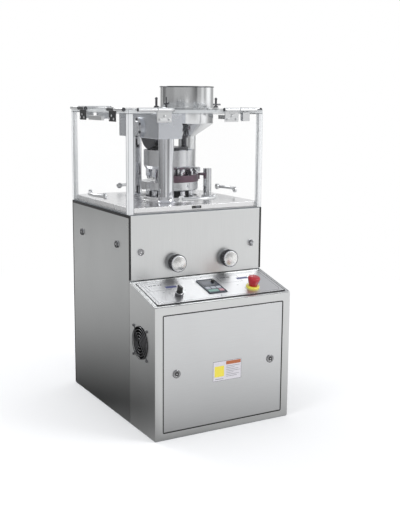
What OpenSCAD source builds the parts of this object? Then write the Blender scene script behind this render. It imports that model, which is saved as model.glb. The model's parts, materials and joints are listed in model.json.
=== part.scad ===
// Small rotary tablet press: a stainless cabinet with a press head under a clear guard.
// Origin at the middle of the cabinet's footprint on the floor, +Z up, the console facing -Y.

/* [Cabinet] */
// Width of the cabinet
cab_w = 480; // [440:1:560]
// Depth of the upper cabinet
cab_d = 464; // [440:1:540]
// How far the console stands out in front
console_d = 176; // [160:1:220]
// Height of the cabinet, which is the underside of the table plate
cab_h = 664; // [650:1:760]
// Height of the console's slope where it meets the cabinet
slope_top = 458; // [440:1:470]
// Height of the console's slope at its front edge
slope_low = 414; // [390:1:430]
// Thickness of the sheet metal
sheet_t = 2; // [1.5:0.5:3]
// Width of the square frame posts
post_w = 28; // [20:1:28]

/* [Table and columns] */
// Thickness of the table plate
plate_t = 20; // [14:1:30]
// How far the table plate stops short of the cabinet's sides
plate_inset = 8; // [6:0.5:10]
// Radius of the two columns
column_r = 25; // [20:1:28]
// Height of the beam's underside above the table plate
column_h = 204; // [200:1:230]
// Width of the beam
beam_w = 86; // [80:1:96]
// Height of the beam
beam_h = 79; // [76:1:79]

/* [Turret] */
// Place of the turret's axis across the cabinet
axis_x = 10; // [0:1:20]
// Place of the turret's axis from front to back
axis_y = 70; // [60:1:80]
// Number of press stations
stations = 9; // [7:1:10]
// Diameter of the circle that the punches stand on
pitch_d = 140; // [136:1:144]
// Diameter of a punch barrel
barrel_d = 19; // [17:0.5:20]
// Diameter of a punch head
head_d = 24; // [22:0.5:25]
// Diameter of a punch tip
tip_d = 10; // [6:0.5:12]
// Outer diameter of a die
die_d = 30; // [26:0.5:32]
// Height of a die
die_h = 22; // [18:1:24]
// Diameter of the die table
table_d = 191; // [188:1:196]
// Thickness of the die table
table_t = 28; // [26:1:32]
// Diameter of the upper punch guide
guide_d = 172; // [170:1:176]
// Height of the upper punch guide
guide_h = 62; // [56:1:62]
// Diameter of the main shaft
shaft_d = 40; // [34:1:44]

/* [Pressure rollers] */
// Diameter of the upper pressure roller
upper_roller_d = 112; // [100:1:114]
// Diameter of the lower pressure roller
lower_roller_d = 90; // [80:1:92]
// Width of both rollers
roller_w = 20; // [16:1:22]
// Diameter of both roller axles
axle_d = 24; // [20:1:26]
// How far the lower roller's journal stands off its axle's centre
eccentric = 3; // [1:0.5:4]

/* [Feed] */
// Outer diameter of the hopper
hopper_d = 183; // [160:1:188]
// Height of the hopper's straight wall
hopper_h = 125; // [90:1:150]
// Outer diameter of the hopper's neck
neck_d = 57; // [50:1:58]
// Height of the feeder's walls
feeder_h = 22; // [21:1:24]

/* [Guard] */
// Height of the guard above the cabinet
guard_h = 317; // [310:1:330]
// Thickness of the clear top
top_t = 12; // [8:1:14]
// Thickness of the clear doors
door_t = 5; // [4:0.5:6]
// Width of the clear corner posts
corner_w = 16; // [14:1:20]
// Length of a door handle
handle_l = 130; // [100:1:160]

/* [Controls] */
// Diameter of the two adjusting knobs
knob_d = 54; // [46:1:60]
// Distance across the square fan
fan_w = 112; // [100:1:116]
// Diameter of the emergency stop's head
estop_d = 39; // [34:1:42]
// Width of the keypad
keypad_w = 63; // [60:1:70]
// Length of the keypad
keypad_l = 93; // [90:1:100]

/* [Hidden] */
$fn = 64;

// clearances
fit = 0.05;        // radial clearance of a running fit
gap = 1;           // clearance between a moving piece and its neighbour
air = 0.5;         // clearance between the rollers and the punch heads
cut = 1;           // how far a cutter stands past the face that it cuts

// cabinet
half_w = cab_w / 2;
back_y = (cab_d + console_d) / 2;
front_y = back_y - cab_d;               // face of the upper cabinet
console_y = front_y - console_d;        // face of the console
foot_gap = 2;                           // the sheets stop this far above the floor
pan_h = 20;
pan_t = 3;
rail_h = 30;
console_post = 20;
slope_a = atan2(slope_top - slope_low, console_d);
slope_l = console_d / cos(slope_a);
door_w = 422;
door_h = 359;
door_z = 25;
door_deep = 16;
lock_x = 168;
lock_z = 203;
lock_r = 8;

fan_y = front_y - 76;
fan_z = 284;
fan_deep = 38;
fan_pitch = 45.5;                       // half the distance between the fan's screws

// places on the control panel, as distances down the slope
estop_x = 132;
estop_down = 127;
keypad_at = 46;
panel_top = 2;
key_rows = [58, 77];                    // middles of the key rows, down from the keypad's top edge
key_w = 16;
key_h = 14;

// table plate and turret levels
table_z = cab_h + plate_t;
collar_h = 11;
die_bottom = table_z + 31;
die_top = die_bottom + table_t;
guide_bottom = die_top + 42;
guide_top = guide_bottom + guide_h;
head_top = guide_top + 2;
head_h = 11;
neck_h = 12;
tip_bottom = die_top + 8;
tip_h = 8;
recess_floor = head_top - head_h - neck_h - 4;
pitch_r = pitch_d / 2;
guide_r = guide_d / 2;
table_r = table_d / 2;
shaft_r = shaft_d / 2;
barrel_r = barrel_d / 2;
head_r = head_d / 2;
stem_r = 7;                             // neck of a punch, under its head
lower_guide_r = table_r - 4;
lower_guide_z = cab_h - 24;
lower_guide_h = 50;
hole_r = lower_guide_r + 2;             // hole in the table plate
collar_r = hole_r + 4.5;
lower_head_z = cab_h - 68;              // underside of the lower punch heads

// press head
press_x = axis_x - pitch_r;
column_y = [axis_y - 112, axis_y + 126];
column_foot_r = column_r + 8;
beam_z = table_z + column_h;
beam_y = [column_y[0] - column_r - 5, column_y[1] + column_r + 5];
upper_roller_r = upper_roller_d / 2;
upper_axle_z = head_top + air + upper_roller_r;
axle_r = axle_d / 2;
flange_r = 34;
flange_z = upper_axle_z + 14;

// under the table
lower_roller_r = lower_roller_d / 2;
lower_axle_z = lower_head_z - air - lower_roller_r - eccentric;
journal_r = axle_r + eccentric + 1;
adjust_z = 506;                         // height of both adjusting shafts
adjust_r = 8;
worm_r = adjust_r + 1.4;
thickness_x = press_x - roller_w / 2 - 10;
fill_x = 110;
bed_z = 474;
bed_t = 18;
bed_x = [axis_x - 130, axis_x + 130];
bed_y = [axis_y - 130, axis_y + 145];
cheek_t = 12;
gear_module = 2.5;
gear_teeth = 60;
pinion_teeth = 20;
gear_z = 440;
gear_t = 24;
pinion_y = axis_y + gear_module * (gear_teeth + pinion_teeth) / 2;
rack_module = 1.5;
rack_teeth = 14;
rack_r = rack_module * rack_teeth / 2;
fill_reach = 36;                        // half the angle that the fill cam covers
roller_reach = 42;                      // half the angle left open round the lower roller

// feed
hopper_at = [axis_x + 100, axis_y + 64];
hopper_r = hopper_d / 2;
hopper_low = guard_top_z() - 50;        // where the straight wall ends
hopper_wall = 1.5;
neck_r = neck_d / 2;
neck_top = hopper_low - 43;
neck_low = guide_bottom - 11;
feeder_z = die_top + 0.6;
feeder_out = table_r + 2;
feeder_from = -120;
feeder_to = 62;
post_at = [axis_x + 137, axis_y - 18];
lug_at = axis_x + 104;
screw_off = 116.5;
arm_t = 8;                              // thickness of the feeder's arm

// guard
guard_y = front_y + cab_d / 2;          // middle of the guard
guard_z = cab_h + 3;
hinge_out = 6;                          // hinge pins stand this far outside the doors
hinge_r = 6;
pin_r = 3;
leaf = [95, 145];                       // reach of a door's hinge leaf from the middle
barrel = [147, 210];                    // reach of the fixed hinge barrel
leaf_t = 3;
handle_z = cab_h + 42;

function guard_top_z() = cab_h + guard_h;
function side_half(k) = k % 2 == 0 ? cab_d / 2 : cab_w / 2;
function side_len(k) = (k % 2 == 0 ? cab_w : cab_d) - 2 * corner_w - 2 * gap;

// ---------- helpers ----------
module box(from, to) translate(from) cube(to - from);
module at_axis() translate([axis_x, axis_y, 0]) children();
module at_stations(a = 0)
    for (i = [0 : stations - 1])
        at_axis() rotate(a + i * 360 / stations) translate([pitch_r, 0, 0]) children();
module rod_x(x, y, z, length, r) translate([x, y, z]) rotate([0, 90, 0]) cylinder(h = length, r = r);
module rod_y(x, y, z, length, r) translate([x, y, z]) rotate([-90, 0, 0]) cylinder(h = length, r = r);
module rod_z(x, y, z, length, r) translate([x, y, z]) cylinder(h = length, r = r);
module ring(z, length, r_out, r_in) translate([0, 0, z]) difference() {
    cylinder(h = length, r = r_out);
    translate([0, 0, -cut]) cylinder(h = length + 2 * cut, r = r_in);
}
module arc_ring(z, length, r_out, r_in, from, to) translate([0, 0, z])
    rotate_extrude(angle = to - from, start = from)
        translate([r_in, 0]) square([r_out - r_in, length]);
module on_slope(x, down) translate([x, front_y, slope_top]) rotate([slope_a, 0, 0])
    translate([0, -down, 0]) children();
module on_side(k) translate([0, guard_y, 0]) rotate(90 * k) children();
module rounded_plate(size, r, length) linear_extrude(length) hull()
    for (x = [-1, 1], y = [-1, 1])
        translate([x * (size[0] / 2 - r), y * (size[1] / 2 - r)]) circle(r = r, $fn = 32);

// involute tooth outline, with the teeth thinned for clearance
function involute(a) = tan(a) * 180 / PI - a;
function tooth_half(r, teeth, m, play) = let (base = m * teeth / 2 * cos(20), a = acos(min(1, base / r)))
    90 / teeth + involute(20) - involute(a) - play / r * 180 / PI;
module gear_outline(teeth, m, play) {
    pitch = m * teeth / 2;
    root = pitch - 1.15 * m;
    low = max(root + 0.3 * m, m * teeth / 2 * cos(20));
    radii = [low, pitch, pitch + 0.8 * m];
    polygon([for (i = [0 : teeth - 1]) each let (c = i * 360 / teeth) concat(
        [for (r = [root]) let (h = tooth_half(low, teeth, m, play)) r * [cos(c - h), sin(c - h)]],
        [for (r = radii) let (h = tooth_half(r, teeth, m, play)) r * [cos(c - h), sin(c - h)]],
        [for (j = [2 : -1 : 0]) let (r = radii[j], h = tooth_half(r, teeth, m, play))
            r * [cos(c + h), sin(c + h)]],
        [for (r = [root]) let (h = tooth_half(low, teeth, m, play)) r * [cos(c + h), sin(c + h)]])]);
}

// ---------- cabinet ----------
module base_frame() color("dimgray") {
    x0 = half_w - sheet_t;
    y0 = console_y + sheet_t;
    y1 = back_y - sheet_t;
    yf = front_y + sheet_t;
    difference() {
        box([-x0, y0, 0], [x0, y1, pan_h]);
        box([-x0 + pan_t, y0 + pan_t, pan_t], [x0 - pan_t, y1 - pan_t, pan_h + cut]);
    }
    for (side = [-1, 1]) {
        left = side < 0 ? -x0 : x0 - post_w;
        box([left, yf, pan_t], [left + post_w, yf + post_w, cab_h]);
        box([left, y1 - post_w, pan_t], [left + post_w, y1, cab_h]);
        inner = side < 0 ? -x0 : x0 - console_post;
        post_y = console_y + door_deep + 6;
        box([inner, post_y, pan_t], [inner + console_post, post_y + console_post, slope_low - 4]);
        box([left, yf + post_w, cab_h - rail_h], [left + post_w, y1 - post_w, cab_h]);
    }
    for (y = [yf, y1 - post_w])
        box([-x0 + post_w, y, cab_h - rail_h], [x0 - post_w, y + post_w, cab_h]);
}

module front_panel() color("gainsboro") difference() {
    box([-half_w, front_y, slope_top + 2], [half_w, front_y + sheet_t, cab_h - foot_gap]);
    for (x = [thickness_x, fill_x])
        rod_y(x, front_y - cut, adjust_z, sheet_t + 2 * cut, adjust_r + 2);
    for (side = [-1, 1])
        rod_y(side * 201, front_y - cut, 548, sheet_t + 2 * cut, lock_r + 0.2);
}

module rear_panel() color("gainsboro") difference() {
    box([-half_w, back_y - sheet_t, foot_gap], [half_w, back_y, cab_h - foot_gap]);
    for (x = [-110, 110], i = [0 : 6])
        box([x - 55, back_y - sheet_t - cut, 110 + i * 18], [x + 55, back_y + cut, 116 + i * 18]);
}

module side_panels() color("darkgray") for (side = [-1, 1])
    difference() {
        left = side < 0 ? -half_w : half_w - sheet_t;
        box([left, front_y + sheet_t, foot_gap], [left + sheet_t, back_y - sheet_t, cab_h - foot_gap]);
        for (y = [front_y + 90, back_y - 86])
            rod_x(left - cut, y, 563, sheet_t + 2 * cut, lock_r + 0.2);
    }

module console_wall(side) {
    drop = sheet_t / cos(slope_a);
    left = side < 0 ? -half_w : half_w - sheet_t;
    translate([left, 0, 0]) rotate([90, 0, 90]) linear_extrude(sheet_t)
        polygon([[console_y + sheet_t, foot_gap], [front_y, foot_gap],
            [front_y, slope_top - drop], [console_y + sheet_t, slope_low - drop + sheet_t * tan(slope_a)]]);
}

module console_housing() color("gainsboro") {
    ox = door_w / 2 + 1.3;
    z0 = door_z - 1.3;
    z1 = door_z + door_h + 1.3;
    lip = 16;
    difference() {
        union() {
            for (side = [-1, 1])
                console_wall(side);
            box([-half_w, console_y, foot_gap], [half_w, console_y + sheet_t, slope_low - 2.6]);
            on_slope(0, 0) box([-half_w, -slope_l, -sheet_t], [half_w, 0, 0]);
            box([-ox - sheet_t, console_y, z0 - sheet_t], [ox + sheet_t, console_y + door_deep + 4, z1 + sheet_t]);
        }
        box([-ox, console_y - cut, z0], [ox, console_y + door_deep + 2, z1]);
        box([-ox + lip, console_y - cut, z0 + lip], [ox - lip, console_y + door_deep + 4 + cut, z1 - lip]);
        rod_x(-half_w - cut, fan_y, fan_z, sheet_t + 2 * cut, fan_w / 2 - 4.5);
        for (y = [-1, 1], z = [-1, 1])
            rod_x(-half_w - cut, fan_y + y * fan_pitch, fan_z + z * fan_pitch, sheet_t + 2 * cut, 2);
        on_slope(0, 0) box([-210, -slope_l + 28, -sheet_t - cut], [210, -28, cut]);
    }
}

module console_door() color("silver") difference() {
    box([-door_w / 2, console_y, door_z], [door_w / 2, console_y + door_deep, door_z + door_h]);
    box([-door_w / 2 + sheet_t, console_y + sheet_t, door_z + sheet_t],
        [door_w / 2 - sheet_t, console_y + door_deep + cut, door_z + door_h - sheet_t]);
    for (side = [-1, 1])
        rod_y(side * lock_x, console_y - cut, lock_z, sheet_t + 2 * cut, lock_r + fit);
}

module door_lock(x) color("silver") translate([x, 0, lock_z]) {
    rod_y(0, console_y - 1.6, 0, 1.6, lock_r + 2.5);
    rod_y(0, console_y, 0, door_deep + 8, lock_r);
    box([-8, console_y + door_deep + 8, -8], [8, console_y + door_deep + 12, 36]);
}
module door_lock_left() door_lock(-lock_x);
module door_lock_right() door_lock(lock_x);

module panel_lock() {
    cylinder(h = 3, r = lock_r + 3);
    translate([0, 0, -16]) cylinder(h = 16, r = lock_r);
    translate([-7, -7, -20]) cube([14, 30, 4]);
}
module panel_locks() color("silver") {
    for (side = [-1, 1]) {
        translate([side * 201, front_y, 548]) rotate([90, 0, 0]) panel_lock();
        for (y = [front_y + 90, back_y - 86])
            translate([side * half_w, y, 563]) rotate([90, 0, side * 90]) panel_lock();
    }
}

module control_panel() color("whitesmoke") on_slope(0, slope_l / 2) difference() {
    rounded_plate([cab_w - 26, slope_l - 26], 5, 2);
    translate([0, slope_l / 2 - keypad_at, -cut]) translate([-keypad_w / 2 + 3, -keypad_l + 3, 0])
        cube([keypad_w - 6, keypad_l - 6, 2 + 2 * cut]);
    translate([estop_x, slope_l / 2 - estop_down, -cut]) cylinder(h = 2 + 2 * cut, r = 11);
    translate([-estop_x, slope_l / 2 - estop_down, -cut]) cylinder(h = 2 + 2 * cut, r = 8);
}

module table_plate() color("lightgray") difference() {
    union() {
        box([-half_w + plate_inset, front_y + plate_inset, cab_h],
            [half_w - plate_inset, back_y - plate_inset, table_z]);
        at_axis() cylinder(h = table_z + collar_h, r = collar_r);
    }
    at_axis() translate([0, 0, -cut]) cylinder(h = table_z + collar_h + 2 * cut, r = hole_r);
    translate([axis_x - collar_r - cut, axis_y - collar_r - cut, -cut])
        cube([2 * (collar_r + cut), 2 * (collar_r + cut), cab_h + cut]);
    for (y = column_y)
        rod_z(press_x, y, cab_h - cut, plate_t + 2 * cut, 15.1);
    for (x = [-1, 1], y = [front_y, back_y])
        translate([x * half_w, y, table_z / 2 + cab_h / 2])
            cube([2 * corner_w + 0.4, 2 * corner_w + 0.4, plate_t + 2 * cut], center = true);
}

// ---------- under the table ----------
module bed() color("slategray") difference() {
    union() {
        box([bed_x[0], bed_y[0], bed_z], [bed_x[1], bed_y[1], bed_z + bed_t]);
        for (x = [bed_x[0], bed_x[1] - cheek_t])
            box([x, bed_y[0], bed_z + bed_t], [x + cheek_t, bed_y[1], cab_h]);
        rod_z(axis_x, axis_y, bed_z + bed_t, 138, shaft_r + 18);
        // bearing blocks of the lower axle
        for (x = [thickness_x - worm_r - 15, press_x + roller_w / 2 + 4])
            box([x, axis_y - 22, bed_z + bed_t], [x + 12, axis_y + 22, lower_axle_z + 22]);
        // bearing blocks of the adjusting shafts
        for (x = [thickness_x, fill_x])
            box([x - 14, bed_y[0] + 10, bed_z + bed_t], [x + 14, bed_y[0] + 24, adjust_z + 15]);
        box([thickness_x - 14, axis_y + 50, bed_z + bed_t],
            [thickness_x + 14, axis_y + 62, adjust_z + 15]);
        box([fill_x - 13, axis_y + 26, bed_z + bed_t], [fill_x + 14, axis_y + 38, adjust_z + 15]);
        // guides of the fill cam's stem
        for (y = [axis_y - 20, axis_y + 12 + fit])
            box([axis_x + 72, y, bed_z + bed_t], [axis_x + 84, y + 8 - fit, bed_z + bed_t + 40]);
    }
    rod_z(axis_x, axis_y, bed_z - cut, 200, shaft_r + fit);
    rod_x(bed_x[0] + cheek_t + 2, axis_y, lower_axle_z, axis_x - shaft_r - 22 - bed_x[0] - cheek_t, axle_r + fit);
    for (x = [thickness_x, fill_x])
        rod_y(x, bed_y[0] - cut, adjust_z, 300, adjust_r + fit);
}

module columns() color("silver") for (y = column_y) {
    rod_z(press_x, y, table_z, column_h, column_r);
    translate([press_x, y, table_z]) cylinder(h = column_r - 5, r1 = column_foot_r, r2 = column_r);
    rod_z(press_x, y, beam_z, beam_h - 24, 15);
    rod_z(press_x, y, cab_h - 24, plate_t + 24, 15);
    translate([press_x, y, cab_h - 22]) cylinder(h = 22, r = 24, $fn = 6);
}

module beam() color("gray") difference() {
    box([press_x - beam_w / 2, beam_y[0], beam_z], [press_x + beam_w / 2, beam_y[1], beam_z + beam_h]);
    box([press_x - roller_w / 2 - 4, axis_y - upper_roller_r - 3, beam_z - cut],
        [press_x + roller_w / 2 + 4, axis_y + upper_roller_r + 3, upper_axle_z + upper_roller_r + 1.5]);
    for (y = column_y)
        rod_z(press_x, y, beam_z - cut, beam_h - 23 + cut, 15.1);
    rod_x(press_x - beam_w, axis_y, upper_axle_z, beam_w * 2 - 25, axle_r + 0.1);
}

module upper_axle() color("silver") {
    rod_x(press_x - beam_w / 2, axis_y, upper_axle_z, beam_w / 2 + 18, axle_r);
    rod_x(press_x - beam_w / 2 - 8, axis_y, flange_z, 8, flange_r);
}

module upper_roller() color("darkslategray") translate([press_x - roller_w / 2, axis_y, upper_axle_z])
    rotate([0, 90, 0]) rotate_extrude() polygon([[axle_r + fit, -1], [24, -1], [24, 0],
        [upper_roller_r - 1.5, 0], [upper_roller_r, 1.5], [upper_roller_r, roller_w - 1.5],
        [upper_roller_r - 1.5, roller_w], [24, roller_w], [24, roller_w + 1], [axle_r + fit, roller_w + 1]]);

// the ring that carries the punch heads, hung from the beam
module upper_cam() color("dimgray") {
    rail_out = pitch_r - stem_r - 0.5;
    riser = pitch_r - head_r - 1;
    disc_z = head_top + 2;
    disc_h = 5;
    difference() {
        union() {
            at_axis() ring(recess_floor + 6, head_top - head_h - recess_floor - 6.4, rail_out, 50);
            at_axis() ring(recess_floor + 6, disc_z + disc_h - recess_floor - 6, riser, 50);
            rod_z(axis_x, axis_y, disc_z, disc_h, riser);
            rod_z(axis_x + 52, axis_y - 6, disc_z, disc_h, 14);
            box([axis_x - 54, axis_y - 20, disc_z + disc_h], [press_x + beam_w / 2, axis_y + 20, beam_z]);
            rod_z(axis_x + 52, axis_y - 6, disc_z + disc_h, 30, 9);
            rod_z(axis_x + 52, axis_y - 6, disc_z + disc_h + 30, 8, 13);
        }
        box([press_x - 20, axis_y - 60, head_top - 0.2], [press_x + roller_w / 2 + 5, axis_y + 60, beam_z - 0.5]);
    }
}

// ---------- turret ----------
module turret() color("silver") difference() {
    at_axis() rotate_extrude() polygon([
        [shaft_r + fit / 2, lower_guide_z], [lower_guide_r, lower_guide_z],
        [lower_guide_r, lower_guide_z + lower_guide_h], [50, lower_guide_z + lower_guide_h],
        [50, die_bottom], [table_r - 3, die_bottom], [table_r, die_bottom + 3],
        [table_r, die_top], [48, die_top], [48, guide_bottom],
        [guide_r - 6, guide_bottom], [guide_r, guide_bottom + 10], [guide_r, guide_top],
        [guide_r - 3, guide_top], [guide_r - 3, recess_floor], [48, recess_floor],
        [48, recess_floor + 3], [44, recess_floor + 3], [44, guide_top - 1], [shaft_r + fit / 2, guide_top - 1]]);
    at_stations() {
        rod_z(0, 0, guide_bottom - cut, guide_h + 2 * cut, barrel_r + fit);
        rod_z(0, 0, die_top - die_h, die_h + cut, die_d / 2 + fit / 2);
        rod_z(0, 0, lower_guide_z - cut, die_top - lower_guide_z, barrel_r + fit);
    }
    // cross holes of the die lock screws
    at_stations() rod_x(die_d / 2 + 2, 0, die_top - die_h / 2, table_r - pitch_r, 5);
}

module dies() color("lightsteelblue") at_stations() {
    ring(die_top - die_h, die_h - 0.5, die_d / 2, tip_d / 2 + fit);
    rod_x(die_d / 2 + 2, 0, die_top - die_h / 2, table_r - pitch_r - die_d / 2 - 6, 4.9);
}

module upper_punches() color("silver") at_stations() {
    rod_z(0, 0, tip_bottom, tip_h, tip_d / 2 + 1);
    rod_z(0, 0, tip_bottom + tip_h, head_top - head_h - neck_h - tip_bottom - tip_h, barrel_r);
    rod_z(0, 0, head_top - head_h - neck_h, neck_h, stem_r);
    translate([0, 0, head_top - head_h]) rotate_extrude() polygon([[0, 0], [stem_r, 0],
        [head_r, 4], [head_r, head_h - 4], [head_r - 4, head_h], [0, head_h]]);
}

module lower_punches() color("silver") at_stations() {
    barrel_low = lower_head_z + head_h + 9;
    translate([0, 0, lower_head_z]) rotate_extrude() polygon([[0, 0], [head_r - 4, 0],
        [head_r, 4], [head_r, head_h - 3], [stem_r, head_h], [0, head_h]]);
    rod_z(0, 0, lower_head_z + head_h, 9, stem_r);
    rod_z(0, 0, barrel_low, die_bottom - 2 - barrel_low, barrel_r);
    rod_z(0, 0, die_bottom - 2, die_top - die_bottom - 4, tip_d / 2);
}

module main_shaft() color("gray") {
    rod_z(axis_x, axis_y, gear_z - 8, guide_top - 1 - gear_z + 8, shaft_r);
    at_axis() ring(bed_z + bed_t + 138.4, 6, shaft_r + 14, shaft_r - cut);
}

module main_gear() color("goldenrod") at_axis() difference() {
    union() {
        translate([0, 0, gear_z]) linear_extrude(gear_t) gear_outline(gear_teeth, gear_module, 0.25);
        translate([0, 0, gear_z + gear_t]) cylinder(h = bed_z - gear_z - gear_t - 3, r = shaft_r + 14);
    }
    translate([0, 0, gear_z - cut]) cylinder(h = gear_t + 20, r = shaft_r + 0.02);
    for (a = [30 : 60 : 330])
        rotate(a) translate([48, 0, gear_z - cut]) cylinder(h = gear_t + 2 * cut, r = 12);
}

module pinion() color("goldenrod") translate([axis_x, pinion_y, 0]) {
    translate([0, 0, gear_z]) linear_extrude(gear_t) rotate(180 / pinion_teeth)
        gear_outline(pinion_teeth, gear_module, 0.25);
    translate([0, 0, gear_z - 40]) cylinder(h = 40, r = 10);
}

module gearmotor() color("royalblue") {
    plate_z = gear_z - 24;
    difference() {
        union() {
            box([axis_x - 100, pinion_y - 60, plate_z], [axis_x + 100, pinion_y + 70, plate_z + 8]);
            rod_z(axis_x, pinion_y, plate_z - 96, 96, 52);
            rod_z(axis_x, pinion_y, plate_z - 290, 194, 62);
            for (a = [0 : 15 : 345])
                translate([axis_x, pinion_y, plate_z - 280]) rotate(a)
                    translate([60, -1.5, 0]) cube([8, 3, 170]);
            box([axis_x - 100, pinion_y - 30, plate_z - 220], [axis_x - 55, pinion_y + 30, plate_z - 140]);
        }
        rod_z(axis_x, pinion_y, gear_z - 41, 42, 10 + fit);
    }
    for (p = [[85, -40], [-85, -40], [60, 56], [-60, 56]])
        rod_z(axis_x + p[0], pinion_y + p[1], plate_z + 8, bed_z - plate_z - 8, 8);
}

module lower_axle() color("silver") {
    x0 = bed_x[0] + cheek_t + 4;
    x1 = press_x + roller_w / 2 + 16;
    wheel_r = lower_axle_z - adjust_z - 10;
    rod_x(x0, axis_y, lower_axle_z, x1 - x0, axle_r);
    rod_x(press_x - roller_w / 2 - 1, axis_y, lower_axle_z + eccentric, roller_w + 3, journal_r);
    translate([thickness_x - 5.5, axis_y, lower_axle_z]) rotate([0, 90, 0])
        linear_extrude(11) difference() {
            circle(r = wheel_r - 0.5);
            for (a = [0 : 12 : 348])
                rotate(a) translate([wheel_r, 0]) circle(r = 2, $fn = 16);
        }
}

module lower_roller() color("darkslategray")
    translate([press_x - roller_w / 2, axis_y, lower_axle_z + eccentric]) rotate([0, 90, 0])
        rotate_extrude() polygon([[journal_r + fit, 0], [lower_roller_r - 1.5, 0],
            [lower_roller_r, 1.5], [lower_roller_r, roller_w - 1.5],
            [lower_roller_r - 1.5, roller_w], [journal_r + fit, roller_w]]);

module lower_cam() color("dimgray") at_axis()
    for (span = [[fill_reach + 4, 180 - roller_reach], [180 + roller_reach, 356 - fill_reach]]) {
        arc_ring(lower_head_z - 22, 21.5, pitch_r + head_r, pitch_r - head_r, span[0], span[1]);
        arc_ring(bed_z + bed_t, lower_head_z - 22 - bed_z - bed_t, pitch_r + head_r,
            pitch_r + head_r - 6, span[0], span[1]);
    }

module fill_cam() color("dimgray") {
    stem_x = fill_x - rack_r;
    stem_low = bed_z + bed_t + 14;
    at_axis() arc_ring(lower_head_z - 20.5, 20, pitch_r + head_r, pitch_r - head_r, -fill_reach, fill_reach);
    difference() {
        box([axis_x + 73, axis_y - 12, stem_low], [stem_x + rack_module * 0.8, axis_y + 12, lower_head_z - 20.5]);
        for (i = [-6 : 13])
            translate([stem_x, axis_y, adjust_z + i * PI * rack_module]) rotate([90, 0, 0])
                linear_extrude(26, center = true) polygon([[-1.15 * rack_module, -0.62], [2, -2.2],
                    [2, 2.2], [-1.15 * rack_module, 0.62]]);
        box([stem_x - 1.2 * rack_module, axis_y - 13, adjust_z + 30],
            [stem_x + 10, axis_y + 13, lower_head_z - 20.6]);
    }
}

// knob and shaft on the cabinet's front
module adjusting_wheel(x, length) translate([x, front_y, adjust_z]) rotate([90, 0, 0]) {
    translate([0, 0, 2]) difference() {
        rotate_extrude() polygon([[0, 0], [12, 0], [12, 3], [knob_d / 2 - 3, 3], [knob_d / 2, 6],
            [knob_d / 2, 22], [knob_d / 2 - 3, 25], [knob_d / 2 - 5, 25], [0, 27]]);
        for (a = [0 : 20 : 340])
            rotate(a) translate([knob_d / 2 + 1.5, 0, 4]) cylinder(h = 20, r = 2.6, $fn = 16);
    }
    translate([0, 0, 2 - length]) cylinder(h = length, r = adjust_r);
}
module thickness_wheel() color("silver") {
    adjusting_wheel(thickness_x, axis_y - front_y + 64);
    rod_y(thickness_x, axis_y - 22, adjust_z, 44, worm_r);
}
module fill_wheel() color("silver") {
    adjusting_wheel(fill_x, axis_y - front_y + 42);
    translate([fill_x, axis_y + 11, adjust_z]) rotate([90, 0, 0]) linear_extrude(22)
        rotate(180) gear_outline(rack_teeth, rack_module, 0.2);
}

// ---------- feed ----------
module feeder() color("saddlebrown") {
    wall_in = pitch_r + barrel_r + 3.5;
    inlet = [hopper_at[0] - axis_x, hopper_at[1] - axis_y];
    inlet_a = atan2(inlet[1], inlet[0]);
    inlet_d = norm(inlet);
    difference() {
        union() {
            at_axis() arc_ring(feeder_z, feeder_h, feeder_out, wall_in, feeder_from, feeder_to);
            at_axis() arc_ring(feeder_z, feeder_h, 57, 51, feeder_from, feeder_to);
            for (a = [feeder_from, feeder_to - 6])
                at_axis() arc_ring(feeder_z, 6.2, wall_in + 1, 56, a, a + 6);
            at_axis() rotate(inlet_a) translate([inlet_d, 0, feeder_z])
                cylinder(h = neck_low + 7 - feeder_z, r = neck_r + 5);
            at_axis() rotate(3) box([wall_in + 6, -11, feeder_z],
                [lug_at - axis_x + 10, 11, feeder_z + feeder_h - arm_t - 0.2]);
        }
        rod_z(hopper_at[0], hopper_at[1], feeder_z + 7, 60, neck_r + 0.7);
        at_axis() rotate(inlet_a) box([pitch_r, -18, feeder_z + 7], [inlet_d, 18, feeder_z + 20]);
    }
}

module feeder_post() color("lightgray") {
    arm = [lug_at - axis_x, 0];
    away = [post_at[0] - axis_x, post_at[1] - axis_y];
    arm_z = feeder_z + feeder_h - arm_t;
    rod_z(post_at[0], post_at[1], table_z, 97, 14);
    rod_z(post_at[0], post_at[1], table_z, 6, 20);
    difference() {
        translate([0, 0, arm_z]) linear_extrude(arm_t) hull() {
            at_axis() rotate(3) translate([arm[0] + 3, 0]) circle(r = 8, $fn = 32);
            translate([axis_x + away[0], axis_y + away[1]]) circle(r = 13, $fn = 32);
        }
        at_axis() cylinder(h = 2000, r = feeder_out + 0.3);
    }
}

module t_screw(turn) {
    rod_z(0, 0, 0, 30, 4);
    rod_z(0, 0, 4, 5, 8);
    translate([0, 0, 14]) rotate(turn) rod_x(-18, 0, 0, 36, 3);
    translate([0, 0, 33]) sphere(r = 5);
}
module clamp_screws() color("silver") {
    for (side = [-1, 1])
        translate([hopper_at[0] + side * screw_off, hopper_at[1], guard_top_z()]) {
            t_screw(side < 0 ? 60 : 0);
            rod_z(0, 0, 4 - top_t, top_t, 4);
        }
    at_axis() rotate(3) translate([lug_at - axis_x, 0, feeder_z + feeder_h]) {
        cylinder(h = 4, r = 9);
        translate([0, 0, 4]) cylinder(h = guide_bottom - feeder_z - feeder_h - 6, r = 15);
    }
}

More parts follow.
